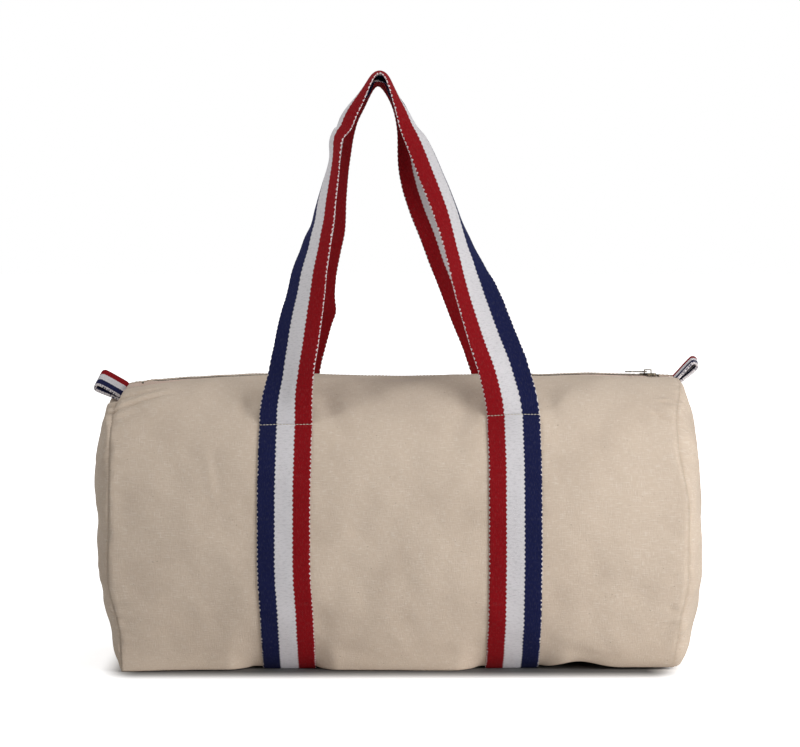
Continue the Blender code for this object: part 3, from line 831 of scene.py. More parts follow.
@dataclass(frozen=True)
class TricolourWebbing(Finish):
    """Thick woven cotton webbing with a red, a white and a navy stripe.

    The eye sees matt ribs across it, stripes whose edges step in and out with the weft, and selvages where the
    white weft shows as light specks. The stripes start with red at the place 0 across.
    """

    width: float = 48 * MM
    pick: float = 4.2 * MM
    rib: float = 1.4 * MM
    rim: float = 0.0
    rim_blur: float = 0.35 * MM
    red: str = "#880B14"
    white: str = "#D9D6D9"
    navy: str = "#151A42"
    lint: str = "#EDE7E0"
    # Painted shade: near black, laid where the yarn pattern is low, as shade in the gaps between the yarns
    gap: str = "#0E0D14"
    weft: str = "#E4DDDE"
    # Where red turns to white and white to navy, as shares of the width
    turns: tuple = (0.330, 0.342, 0.668, 0.680)
    tufts: tuple = (1100.0, 260.0)
    fuzz: float = 900.0
    fuzz_reach: float = 0.9 * MM
    stripe_shift: float = 0.3 * MM
    specks: tuple = (300.0, 520.0)
    speck_reach: float = 2.6 * MM

    def make(self) -> bpy.types.Material:
        """Build the material.

        The stripes are read at the place across, moved by a share of a triangle wave along the tape and by fuzz, and
        the specks of weft show where the same wave and the specks bring a place near the rim.

        Returns:
            The material.
        """
        made, tree, shader = self.start()
        node = partial(add_node, tree)
        places = node("Attribute", attribute_name=CLOTH).outputs["Vector"]
        across, along, _ = node("SeparateXYZ", places).outputs
        step = node("Math", along, self.pick / 2, operation="PINGPONG")
        fuzz = grain(tree, places, self.fuzz, self.fuzz, detail=1.0, shift=17.0)
        step = node("Math", step, 0.55, node("Math", across, self.stripe_shift, operation="SUBTRACT"),
                    operation="MULTIPLY_ADD")
        step = node("Math", node("Math", fuzz, 0.5, operation="SUBTRACT"), self.fuzz_reach, step,
                    operation="MULTIPLY_ADD")
        stripe = node("ValToRGB", node("Math", step, self.width, operation="DIVIDE"))
        tones = (self.red, self.red, self.white, self.white, self.navy)
        set_stops(stripe, [(place, linear(tone)) for place, tone in zip((0.0, *self.turns), tones)])
        yarn = grain(tree, places, 1 / self.rib / 3, 1 / self.rib)
        tuft = grain(tree, places, *self.tufts, shift=9.0)
        colour = tint(tree, stripe.outputs["Color"], self.lint, tuft, 0.45, 0.8, strength=0.025)
        # Painted shade in the gaps between the yarns, where the yarn pattern and so the bump are low
        colour = tint(tree, colour, self.gap, yarn, 0.55, 0.25, strength=0.16)
        edge = node("Math", node("Math", across, self.width / 2, operation="SUBTRACT"), operation="ABSOLUTE")
        speck = grain(tree, places, *self.specks, detail=1.0, shift=40.0)
        tooth = node("Math", node("Math", along, self.pick / 2, operation="PINGPONG"), 0.5, edge,
                     operation="MULTIPLY_ADD")
        tooth = node("Math", node("Math", speck, 0.5, operation="SUBTRACT"), self.speck_reach, tooth,
                     operation="MULTIPLY_ADD")
        start = self.width / 2 - self.rim
        rim = node("MapRange", tooth, start, start + self.rim_blur, interpolation_type="SMOOTHSTEP")
        bright = node("MapRange", speck, 0.36, 0.46, interpolation_type="SMOOTHSTEP")
        rim = node("Math", rim, bright, operation="MULTIPLY")
        rim = node("Math", rim, 0.9, operation="MULTIPLY")
        colour = node("Mix", rim, colour, linear(self.weft), data_type="RGBA")
        rough = node("Math", tuft, 0.2, 0.76, operation="MULTIPLY_ADD")
        ribs = node("Math", step, 0.6, along, operation="MULTIPLY_ADD")
        ribs = node("Math", ribs, self.rib / 2, operation="PINGPONG")
        height = node("Math", ribs, 900.0, yarn, operation="MULTIPLY_ADD")
        height = node("Math", tuft, 0.6, height, operation="MULTIPLY_ADD")
        bump = node("Bump", Height=height, Strength=0.5, Distance=0.7 * MM)
        feed(tree, shader, {"Base Color": colour, "Roughness": rough, "Normal": bump, "Specular IOR Level": 0.10})
        return made


@dataclass(frozen=True)
class WovenTape(Finish):
    """Thin polyester tape in a herringbone weave, as zips are sewn on with: pinkish beige, slightly smooth."""

    ground: str = "#CDB2A2"
    pale: str = "#DCC8BA"
    rib: float = 1.2 * MM
    herringbone: float = 3.2 * MM
    fibres: float = 700.0

    def make(self) -> bpy.types.Material:
        """Build the material: ribs across the tape that turn back at every width of the herringbone.

        Returns:
            The material.
        """
        made, tree, shader = self.start()
        node = partial(add_node, tree)
        places = node("Attribute", attribute_name=CLOTH).outputs["Vector"]
        across, along, _ = node("SeparateXYZ", places).outputs
        fold = node("Math", along, self.herringbone, operation="PINGPONG")
        wale = node("Math", node("Math", across, fold, operation="ADD"), self.rib / 2, operation="PINGPONG")
        ridge = node("Math", wale, 2 / self.rib, operation="MULTIPLY")
        fibre = grain(tree, places, self.fibres, self.fibres)
        share = node("Math", ridge, 0.6, node("Math", fibre, 0.4, operation="MULTIPLY"), operation="MULTIPLY_ADD")
        colour = node("Mix", share, linear(self.ground), linear(self.pale), data_type="RGBA")
        rough = node("Math", fibre, 0.2, 0.62, operation="MULTIPLY_ADD")
        height = node("Math", ridge, fibre, operation="ADD")
        bump = node("Bump", Height=height, Strength=0.4, Distance=0.4 * MM)
        feed(tree, shader, {"Base Color": colour, "Roughness": rough, "Normal": bump})
        return made


@dataclass(frozen=True)
class SewingThread(Finish):
    """Twisted cotton thread, off-white, with a fine twist."""

    ground: str = "#D9D2C6"
    dark: str = "#A79C8C"
    twists: float = 1400.0

    def make(self) -> bpy.types.Material:
        """Build the material.

        Returns:
            The material.
        """
        made, tree, shader = self.start()
        node = partial(add_node, tree)
        twist = grain(tree, node("TexCoord").outputs["Object"], self.twists, self.twists, detail=1.0)
        colour = node("Mix", twist, linear(self.dark), linear(self.ground), data_type="RGBA")
        rough = node("Math", twist, 0.2, 0.65, operation="MULTIPLY_ADD")
        bump = node("Bump", Height=twist, Strength=0.4, Distance=0.2 * MM)
        feed(tree, shader, {"Base Color": colour, "Roughness": rough, "Normal": bump})
        return made


@dataclass(frozen=True)
class NickelPlate(Finish):
    """Bright nickel plate on stamped metal, slightly golden, with fine handling scratches; its darkened colour and
    darker patches are painted dark reflections.
    """

    # Painted reflection: the ground is darker than bare nickel, and the darker tone below lies over it in patches,
    # standing in for dark reflections
    ground: str = "#7C7263"
    painted_reflection_tone: str = "#352F28"
    reflection_patch_rate: float = 420.0
    scratches: tuple = (260.0, 3800.0)

    def make(self) -> bpy.types.Material:
        """Build the material.

        Returns:
            The material.
        """
        made, tree, shader = self.start()
        node = partial(add_node, tree)
        spot = node("TexCoord").outputs["Object"]
        reflection_patch = grain(tree, spot, self.reflection_patch_rate, self.reflection_patch_rate, detail=3.0)
        scratch = grain(tree, spot, *self.scratches, shift=5.0)
        # Painted reflection: the darker tone lies where the patch pattern is high
        colour = tint(tree, linear(self.ground), self.painted_reflection_tone, reflection_patch, 0.38, 0.62)
        rough = node("Math", reflection_patch, 0.25, 0.14, operation="MULTIPLY_ADD")
        bump = node("Bump", Height=scratch, Strength=0.2, Distance=0.1 * MM)
        feed(tree, shader, {"Base Color": colour, "Roughness": rough, "Normal": bump, "Metallic": 1.0})
        return made


# ---------------------------------------------------------------- the bag's sub-assemblies


@dataclass
class CanvasShell:
    """The canvas sheet in a front and a back half, the two round ends, and the topstitching along the zip."""

    form: BagForm
    canvas: bpy.types.Material
    thread: bpy.types.Material
    thickness: float = 1.5 * MM
    seam_gap: float = 0.3 * MM
    columns: int = 250
    rows: int = 165
    # The rows crowd at the zip, as these shares of the way and of its square, and the columns at the seams
    row_spacing: tuple = (0.55, 0.45)
    column_shift: float = 6 * MM
    # The hem along the zip stands out, and its edge is rounded
    hem_fade: tuple = (19 * MM, 2 * MM)
    hem_proud: float = 0.5 * MM
    hem_rounding: float = 0.9 * MM
    end_columns: int = 340
    end_rings: int = 56
    ring_spacing: float = 1.6
    pole_share: float = 0.004
    end_bulge: float = 30 * MM
    swell_powers: tuple = (2.5, 16)
    # How full the left and the right end are at heights in metres, as a share of the bulge
    fullness: tuple = (
        (
            (0.0, 0.10), (0.03, 0.40), (0.0625, 0.73), (0.10, 0.75), (0.13, 0.82), (0.165, 0.98), (0.19, 0.95),
            (0.215, 0.86), (0.25, 1.0),
        ),
        (
            (0.0, 0.77), (0.03, 0.85), (0.06, 0.94), (0.09, 1.0), (0.13, 0.97), (0.165, 0.92), (0.205, 0.98),
            (0.25, 0.73),
        ),
    )
    end_area_share: float = 0.88
    # Beside the end seam lies a roll of cloth, thicker at the left end's shoulder, and the seam is a groove
    roll_at: float = 4.6 * MM
    roll_width: float = 3.6 * MM
    roll_size: float = 0.9 * MM
    shoulders: tuple = (3.2 * MM, 0.0)
    shoulder_growth: tuple = (0.19, 0.04)
    rim_width: float = 0.8 * MM
    rim_depth: float = 0.7 * MM
    groove_width: float = 1.0 * MM
    groove_depth: float = 1.2 * MM
    # Puckers and wider waves run in from the seam and fade as bells of these widths, and soft ones cover the middle
    puckers: Waves = Waves(21, 12, 0.009, 0.022, 0.45 * MM)
    pucker_stretch: float = 0.35
    pucker_reach: float = 0.02
    wide_waves: Waves = Waves(41, 12, 0.03, 0.09, 0.8 * MM)
    wide_reach: float = 0.05
    wave_start: float = 4 * MM
    soft_waves: Waves = Waves(61, 12, 0.06, 0.14, 0.8 * MM)
    soft_start: float = 0.03
    stitch_pitch: float = 3.2 * MM
    stitch_share: float = 0.82
    stitch_width: float = 0.75 * MM
    stitch_lift: float = 0.55 * MM
    stitches_from_end: float = 6 * MM
    stitches_from_edge: float = 4.5 * MM
    # Places (y, height) on the still canvas and on the lip, as on the back, between which it folds
    fold_span: tuple = ((0.1, 0.23), (0.05, 0.26))

    def build(self) -> None:
        """Make every piece of the shell."""
        for face in Face:
            self.add_half(face)
            self.add_topstitch(face)
        for end in End:
            self.add_end(end)

    def girths_of(self, face: Face, near: Array) -> Array:
        """Girths on one face from distances to the middle of the top."""
        return near if face is Face.FRONT else self.form.full - near

    @classmethod
    def fold(cls, piece: bpy.types.Object, face: Face, share: Array) -> None:
        """Bake a piece's transform into its mesh."""
        bend_between(piece)

    def add_half(self, face: Face) -> None:
        """One half of the sheet, from the zip to the middle of the base, with rows closer together at the hem.

        Outer and inner layers are the form's surface at depth 0 and at the canvas thickness.

        Args:
            face: the side of the bag.
        """
        form = self.form
        share = np.linspace(0, 1, self.rows)
        spacing = self.row_spacing[0] * share + self.row_spacing[1] * share**2
        near = form.mouth_half_gap + (form.half - form.mouth_half_gap) * spacing
        x = np.linspace(-form.half_length, form.half_length, self.columns)
        x = x + self.column_shift * np.sin(x / form.half_length * math.pi)
        grid_x, grid_near = np.meshgrid(x, near, indexing="ij")
        girth = self.girths_of(face, grid_near)
        hem = fades(grid_near, *self.hem_fade) - bell(grid_near - form.mouth_half_gap, self.hem_rounding)
        lifts = np.stack((self.hem_proud * hem, np.full(hem.shape, -self.thickness)))
        cloth = np.stack([np.stack((grid_x, girth), axis=-1)] * 2)
        cells = slab_cells(self.columns, self.rows)
        piece = add_piece("canvas_" + face.value, form.over(grid_x, girth, lifts), cells, self.canvas, cloth)
        nodes = ["mouth_lip_" + face.value] + (["body_panel"] if face is Face.FRONT else [])
        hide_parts(*nodes)
        self.fold(piece, face, np.stack([form.lip(grid_x, girth)] * 2))

    def add_topstitch(self, face: Face) -> None:
        """A row of stitches beside the zip, lying on the canvas edge.

        Args:
            face: the side of the bag.
        """
        form = self.form
        reach = form.half_length - self.stitches_from_end
        x = np.arange(-reach, reach, self.stitch_pitch)
        girth = self.girths_of(face, np.full(len(x), form.mouth_half_gap + self.stitches_from_edge))
        origins = form.over(x, girth, self.stitch_lift)
        along = unit(form.over(x + MM, girth, self.stitch_lift) - origins)
        sideways = np.cross((0, 0, 1), along)
        axes = np.stack((along, sideways, np.cross(along, sideways)), axis=1)
        shape, cells = stitch_shape(self.stitch_pitch * self.stitch_share, self.stitch_width)
        points, faces = stamp(shape, cells, origins, axes)
        piece = add_piece("topstitch_" + face.value, points, faces, self.thread)
        self.fold(piece, face, np.repeat(form.lip(x, girth), len(shape)))

    def add_end(self, end: End) -> None:
        """A round end: rings of the seam's outline drawn in to the middle, at r from 1 to 0.

        It swells out as 1 less the mean of r to the power 2.5 and r to the power 16, so its shoulders are full. A
        roll of cloth, a groove, puckers and waves are added to it as bells of the width in from the seam.

        Args:
            end: which end.
        """
        form, right = self.form, end is End.RIGHT
        girth = np.arange(self.end_columns) / self.end_columns * form.full
        r = 1 - np.linspace(0, 1, self.end_rings)[:, None] ** self.ring_spacing * (1 - self.pole_share)
        rim_x = end.sign * form.half_length
        middle = np.array((0.0, form.base + form.height / 2))
        rim = form.over(np.full_like(girth, rim_x), girth, 0.0)
        pulled, rim = end.sign * (rim[:, 0] - rim_x), rim[:, 1:]
        spoke, length = rim - middle, np.linalg.norm(rim - middle, axis=1)
        width = (1 - r) * length
        roll = self.roll_size + self.shoulders[right] * grows(rim[:, 1], *self.shoulder_growth)
        roll = bell(width - self.roll_at, self.roll_width) * roll - bell(width, self.rim_width) * self.rim_depth
        swell = 1 - sum(r**power for power in self.swell_powers) / 2
        around = np.broadcast_to(girth, width.shape)
        waves = bell(width, self.pucker_reach) * self.puckers.at(around, width * self.pucker_stretch, end.sign)
        waves += bell(width, self.wide_reach) * self.wide_waves.at(around, width, end.sign)
        layers = []
        for depth in (0.0, self.thickness):
            inset = middle + spoke * (1 - depth / length)[:, None]
            flat = middle + (inset - middle) * r[..., None] + unit(spoke) * roll[..., None]
            bulge = self.end_bulge * follow(self.fullness[right], flat[..., 1])
            bulge = pulled + (bulge - pulled) * swell - depth - bell(width, self.groove_width) * self.groove_depth
            bulge += grows(width, 0, self.wave_start) * waves
            bulge += grows(width, 0, self.soft_start) * self.soft_waves.at(flat[..., 0], flat[..., 1], end.sign)
            layers.append(np.concatenate((rim_x + end.sign * (self.seam_gap + bulge)[..., None], flat), axis=-1))
        points = np.stack(layers)
        cells = slab_cells(self.end_rings, self.end_columns, wrap=True, pole=True)
        piece = add_piece("canvas_end_" + end.value, points, cells, self.canvas, points[..., 1:])
        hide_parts("end_panel_" + end.value)
        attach(piece, "bag")


@dataclass
class Ribbon:
    """Woven tape: a flat ring of points, thinner at its two edges, carried along a path."""

    width: float
    thickness: float
    across_count: int = 22
    edge: float = 1.1 * MM
    edge_thickness: float = 0.35
    crowding: float = 0.16
    # The weft's turns at both edges stand out and in again at every pick
    pick: float = 4.2 * MM
    scallop: float = 0.5 * MM
    scallop_growth: tuple = (0.42, 0.08)

    def places(self) -> Array:
        """Distances across the tape, closer together at its edges by a sine."""
        share = np.linspace(0, 1, self.across_count)
        return self.width * (share - self.crowding * np.sin(2 * math.pi * share) / math.pi)

    def halves(self) -> Array:
        """Half the thickness at each distance across, falling as a quarter circle over the edge.

        Returns:
            The distances from the middle of the tape to its faces.
        """
        near = np.minimum(self.places(), self.width - self.places())
        share = 1 - np.clip(near / self.edge, 0, 1)
        round_share = np.sqrt(np.clip(1 - share**2, 0, 1))
        return self.thickness * (self.edge_thickness + (1 - self.edge_thickness) * round_share) / 2

    def jags(self, along: Array) -> Array:
        """How far the places across move outwards along the tape: a triangle wave, only near the edges.

        Args:
            along: places along the tape.

        Returns:
            The moves towards the far edge, (along, across).
        """
        share = self.places() / self.width - 0.5
        wave = (saw(along, self.pick) - 0.5)[:, None] * self.scallop
        return wave * grows(np.abs(share), *self.scallop_growth) * np.sign(share)

    def cloth(self, along: Array) -> Array:
        """Cloth places of rings of points, which go along the outer face and back along the inner one.

        Args:
            along: places along the tape.

        Returns:
            The place across and the place along, (along, 2 * across, 2).
        """
        across = np.concatenate((self.places(), self.places()[::-1]))
        return np.stack(np.broadcast_arrays(across, along[:, None]), axis=-1)


@dataclass
class Straps:
    """Two lengths of webbing sewn round the bag, from the front stitch line under it to the back one."""

    form: BagForm
    webbing: bpy.types.Material
    thread: bpy.types.Material
    thickness: float = 1.8 * MM
    gap: float = 0.3 * MM
    stations: int = 560
    stitch_pitch: float = 3.0 * MM
    stitch_share: float = 0.84
    stitch_width: float = 0.8 * MM
    stitch_lift: float = 1.85 * MM
    stitches_from_top: float = 0.7 * MM
    outward_step: float = 5 * MM

    def build(self) -> None:
        """Make both straps and the stitches across their tops."""
        for end in End:
            self.add_strap(end)
            self.add_stitches(end)

    def add_strap(self, end: End) -> None:
        """One strap: the canvas surface lifted by the gap and the tape's thickness.

        Args:
            end: the side of the bag.
        """
        form = self.form
        tape = Ribbon(form.webbing_width, self.thickness)
        start = form.stitch_girth(end)
        girth = np.linspace(start, form.full - start, self.stations)
        x = form.strap_at(end, girth)[:, None] + end.sign * (tape.places() + tape.jags(girth))
        middle = self.gap + tape.thickness / 2
        outer, inner = (form.over(x, girth[:, None], middle + off) for off in (tape.halves(), -tape.halves()))
        points = np.concatenate((outer, inner[:, ::-1]), axis=1)
        cells = tube_cells(*points.shape[:2])
        piece = add_piece("webbing_strap_" + end.value, points, cells, self.webbing, tape.cloth(girth))
        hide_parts("strap_" + end.value)
        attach(piece, "bag")

    def add_stitches(self, end: End) -> None:
        """The row of stitches across the top of a strap, on the front and on the back.

        Args:
            end: the side of the bag.
        """
        form = self.form
        count = int(form.webbing_width / self.stitch_pitch)
        across = (np.arange(count) + 0.5) * self.stitch_pitch
        near = form.stitch_girth(end) + self.stitches_from_top
        girth = np.repeat((near, form.full - near), count)
        x = form.strap_at(end, girth) + end.sign * np.tile(across, 2)
        origins = form.over(x, girth, self.gap + self.stitch_lift)
        away = unit(form.over(x, girth, self.outward_step) - origins)
        along = np.broadcast_to((1.0, 0.0, 0.0), away.shape)
        shape, cells = stitch_shape(self.stitch_pitch * self.stitch_share, self.stitch_width)
        points, faces = stamp(shape, cells, origins, np.stack((along, np.cross(away, along), away), axis=1))
        piece = add_piece("strap_stitches_" + end.value, points, faces, self.thread)
        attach(piece, "bag")


@dataclass
class Handle:
    """A free loop of the same webbing, which turns on edge as it rises and nests in the other one at its top.

    Each mark is a place of the inner, red edge (x, height) in millimetres and how far the red, the white and the
    navy stripe are turned from facing front, in degrees.
    """

    form: BagForm
    webbing: bpy.types.Material
    face: Face
    marks: tuple
    apex_height: float
    apex_y: float = -0.013
    thickness: float = 1.8 * MM
    across_count: int = 26
    stripe_middles: tuple = (1 / 6, 0.5, 5 / 6)
    stations: int = 640
    place_reach: float = 4.5 * MM
    turn_reach: float = 8 * MM
    bell_share: float = 1.41
    foot_proud: float = 2.1 * MM
    foot_sink: float = 0.4 * MM
    level_length: float = 22 * MM
    blend_length: float = 26 * MM
    # Places (y, height) on the strap and on the handle, as on the back, between which it bends
    bend_span: tuple = ((0.11, 0.225), (0.1, 0.255))

    def path(self) -> tuple[Array, Array, Array]:
        """The handle's inner edge in the plane of the photograph's view, evenly spaced and eased by a bell.

        Returns:
            Places (x, height), the three stripes' turns in radians, and the way along, in metres.
        """
        marks = np.array(self.marks, float) * (MM, MM, *np.radians((1, 1, 1)))
        way = np.concatenate(([0], np.cumsum(np.hypot(*np.diff(marks[:, :2], axis=0).T))))
        along = np.linspace(0, way[-1], self.stations)
        columns = []
        for column, reach in zip(marks.T, (self.place_reach,) * 2 + (self.turn_reach,) * 3):
            line = np.interp(along, way, column)
            half = int(3 * reach / along[1])
            weights = bell(np.arange(-half, half + 1) * along[1], reach * self.bell_share)
            padded = np.concatenate((2 * line[0] - line[half:0:-1], line, 2 * line[-1] - line[-2 : -half - 2 : -1]))
            columns.append(np.convolve(padded, weights / weights.sum(), "valid"))
        return np.stack(columns[:2], axis=1), np.stack(columns[2:], axis=1), along

    def build(self) -> None:
        """Make the handle.

        The tape's face is the inner edge plus the sum, over small steps across it, of the outward direction times
        the cosine of its turn and the backward direction times the sine.
        """
        form, tape = self.form, Ribbon(self.form.webbing_width, self.thickness, self.across_count)
        edge, turns, along = self.path()
        across = tape.places()
        shares = [np.interp(across / tape.width, self.stripe_middles, stripe) for stripe in np.eye(3)]
        turn = turns @ np.stack(shares)
        between = np.concatenate((turn[:, :1], (turn[:, 1:] + turn[:, :-1]) / 2), axis=1)
        steps = np.diff(across, prepend=0.0)
        sideways, backwards = np.cumsum(np.stack((np.cos(between), np.sin(between))) * steps, axis=-1)
        girths = np.array([form.stitch_girth(end) for end in End])
        foot = form.place(np.zeros(2), girths, self.foot_proud)[(along >= along[-1] / 2).astype(int)]
        rise = np.clip((edge[:, 1] - foot[:, 2]) / (self.apex_height - foot[:, 2]), 0, 1)
        middle_y = foot[:, 1] + (self.apex_y - foot[:, 1]) * rise
        edge_y = middle_y - backwards[:, len(across) // 2]
        spine = np.stack((edge[:, 0], edge_y, np.maximum(edge[:, 1], foot[:, 2] - self.foot_sink)), axis=1)
        tangent = unit(np.gradient(np.stack((edge[:, 0], middle_y, edge[:, 1]), axis=1), axis=0))
        outward = unit(np.stack((-tangent[:, 2], np.zeros(len(tangent)), tangent[:, 0]), axis=1))
        from_foot = np.minimum(along, along[-1] - along)
        level = grows(from_foot, 0, self.level_length)[:, None]
        outward = unit(outward * level + np.sign(outward * (1, 0, 0)) * (1 - level))
        backward = unit(np.cross(outward, tangent))
        sine, cosine = np.sin(turn)[..., None], np.cos(turn)[..., None]
        outward, backward, jags = outward[:, None], backward[:, None], tape.jags(along)[..., None]
        face = spine[:, None] + outward * sideways[..., None] + backward * backwards[..., None]
        face = face + (outward * cosine + backward * sine) * jags
        normals, halves = outward * sine - backward * cosine, tape.halves()[:, None]
        outer, inner = (face - normals * (tape.thickness / 2 + off) for off in (-halves, halves))
        points = np.concatenate((outer, inner[:, ::-1]), axis=1) * (1, -self.face.sign, 1)
        piece = add_piece(
            "webbing_handle_" + self.face.value, points, tube_cells(*points.shape[:2]), self.webbing, tape.cloth(along)
        )
        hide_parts("handle_" + self.face.value)
        bend_between(piece)


FRONT_MARKS = (
    (-76.8, 221.2, 0, 0, 0), (-76.9, 238, 0, 12, 0), (-76.8, 252, 8, 36, 8), (-75.9, 266, 22, 40, 20),
    (-75.0, 276, 28, 38, 30), (-72.2, 291.5, 26, 33, 36),
    (-69.2, 314.1, 26, 33, 40), (-66.4, 336.7, 28, 43, 45), (-64.8, 359.4, 38, 48, 50),
    (-61.5, 382.2, 46, 55, 55), (-60.4, 393.1, 50, 57, 60), (-58, 408.2, 53, 58, 76),
    (-56.9, 423.4, 56, 58, 82), (-55.1, 439.1, 58, 60, 90), (-53.8, 453.8, 62, 64, 96),
    (-52.7, 469.6, 66, 76, 102), (-51.4, 481.5, 66, 80, 104), (-49.5, 485.5, 58, 80, 104),
    (-43.6, 488.5, 46, 80, 104), (-41.6, 493, 44, 78, 104), (-39.8, 499.4, 46, 76, 102),
    (-33.7, 512.3, 50, 78, 104), (-29.2, 522.6, 60, 84, 106),
    (-25.3, 532.9, 70, 92, 108), (-21.8, 540.9, 78, 98, 112), (-16.2, 545.6, 84, 100, 114),
    (-10.7, 540.9, 78, 98, 112), (-6.9, 530.1, 72, 90, 108), (-4.2, 519.8, 64, 84, 106),
    (-0.9, 507.7, 50, 80, 104), (2.3, 491.8, 34, 70, 100), (7.8, 477.9, 26, 64, 98),
    (12, 466.8, 23, 62, 96), (16.1, 455.7, 21, 61, 96), (20.2, 444.6, 20, 60, 96),
    (24.8, 433.5, 22, 59, 94), (33.5, 411.5, 28, 58, 92), (40.7, 389.5, 42, 56, 70),
    (46.6, 367.6, 43, 44, 56), (48.8, 356.6, 42, 40, 36), (54.2, 334.9, 40, 36, 16),
    (60.5, 313.2, 36, 34, 8), (66.7, 291.5, 30, 28, 4), (73.6, 270, 16, 30, 2), (77.6, 252.1, 6, 26, 0),
    (80.2, 240, 0, 12, 0), (81.2, 229.8, 0, 0, 0),
)
BACK_MARKS = (
    (-78, 221.2, 0, 0, 0), (-77.2, 240, 0, 0, 0), (-75, 257.1, 0, 0, 0), (-73, 270.7, 10, 12, 14),
    (-69.1, 286.1, 20, 26, 32), (-62.8, 310.1, 26, 40, 50), (-58.0, 320.5, 30, 44, 56),
    (-59.4, 326, 32, 46, 58), (-60.6, 336, 36, 48, 60), (-58.7, 357.9, 40, 52, 64), (-53.8, 381.6, 42, 56, 68),
    (-50.5, 394.8, 38, 58, 72), (-49.6, 408.9, 44, 60, 74), (-49.4, 424, 48, 62, 78),
    (-48.2, 439.9, 50, 64, 82), (-46.9, 454.9, 50, 66, 84), (-44.5, 470.7, 50, 68, 86),
    (-42.5, 484.6, 50, 70, 88), (-38.3, 501.3, 54, 74, 90), (-32.2, 512.4, 60, 78, 92),
    (-27.5, 522.7, 60, 84, 96), (-23.3, 531, 64, 92, 100), (-18.6, 536.6, 66, 96, 104),
    (-13.6, 532, 64, 92, 100), (-8.9, 524.6, 62, 86, 96), (-4.2, 515.3, 58, 78, 92),
    (-0.9, 503.1, 54, 70, 90), (0.9, 488.3, 46, 64, 86), (0.5, 467.9, 30, 60, 84), (1.4, 453, 20, 56, 80),
    (5.2, 434.3, 14, 54, 76), (12.7, 411.8, 12, 52, 70), (22.2, 389.1, 16, 46, 60),
    (30.7, 366.4, 30, 38, 46), (35.5, 355, 30, 36, 40), (44.1, 332.2, 28, 32, 32), (52.8, 309.2, 24, 26, 24),
    (62.4, 286.1, 14, 16, 16), (69.8, 262.9, 4, 5, 6), (78.6, 242, 0, 0, 0), (81.2, 229.8, 0, 0, 0),
)


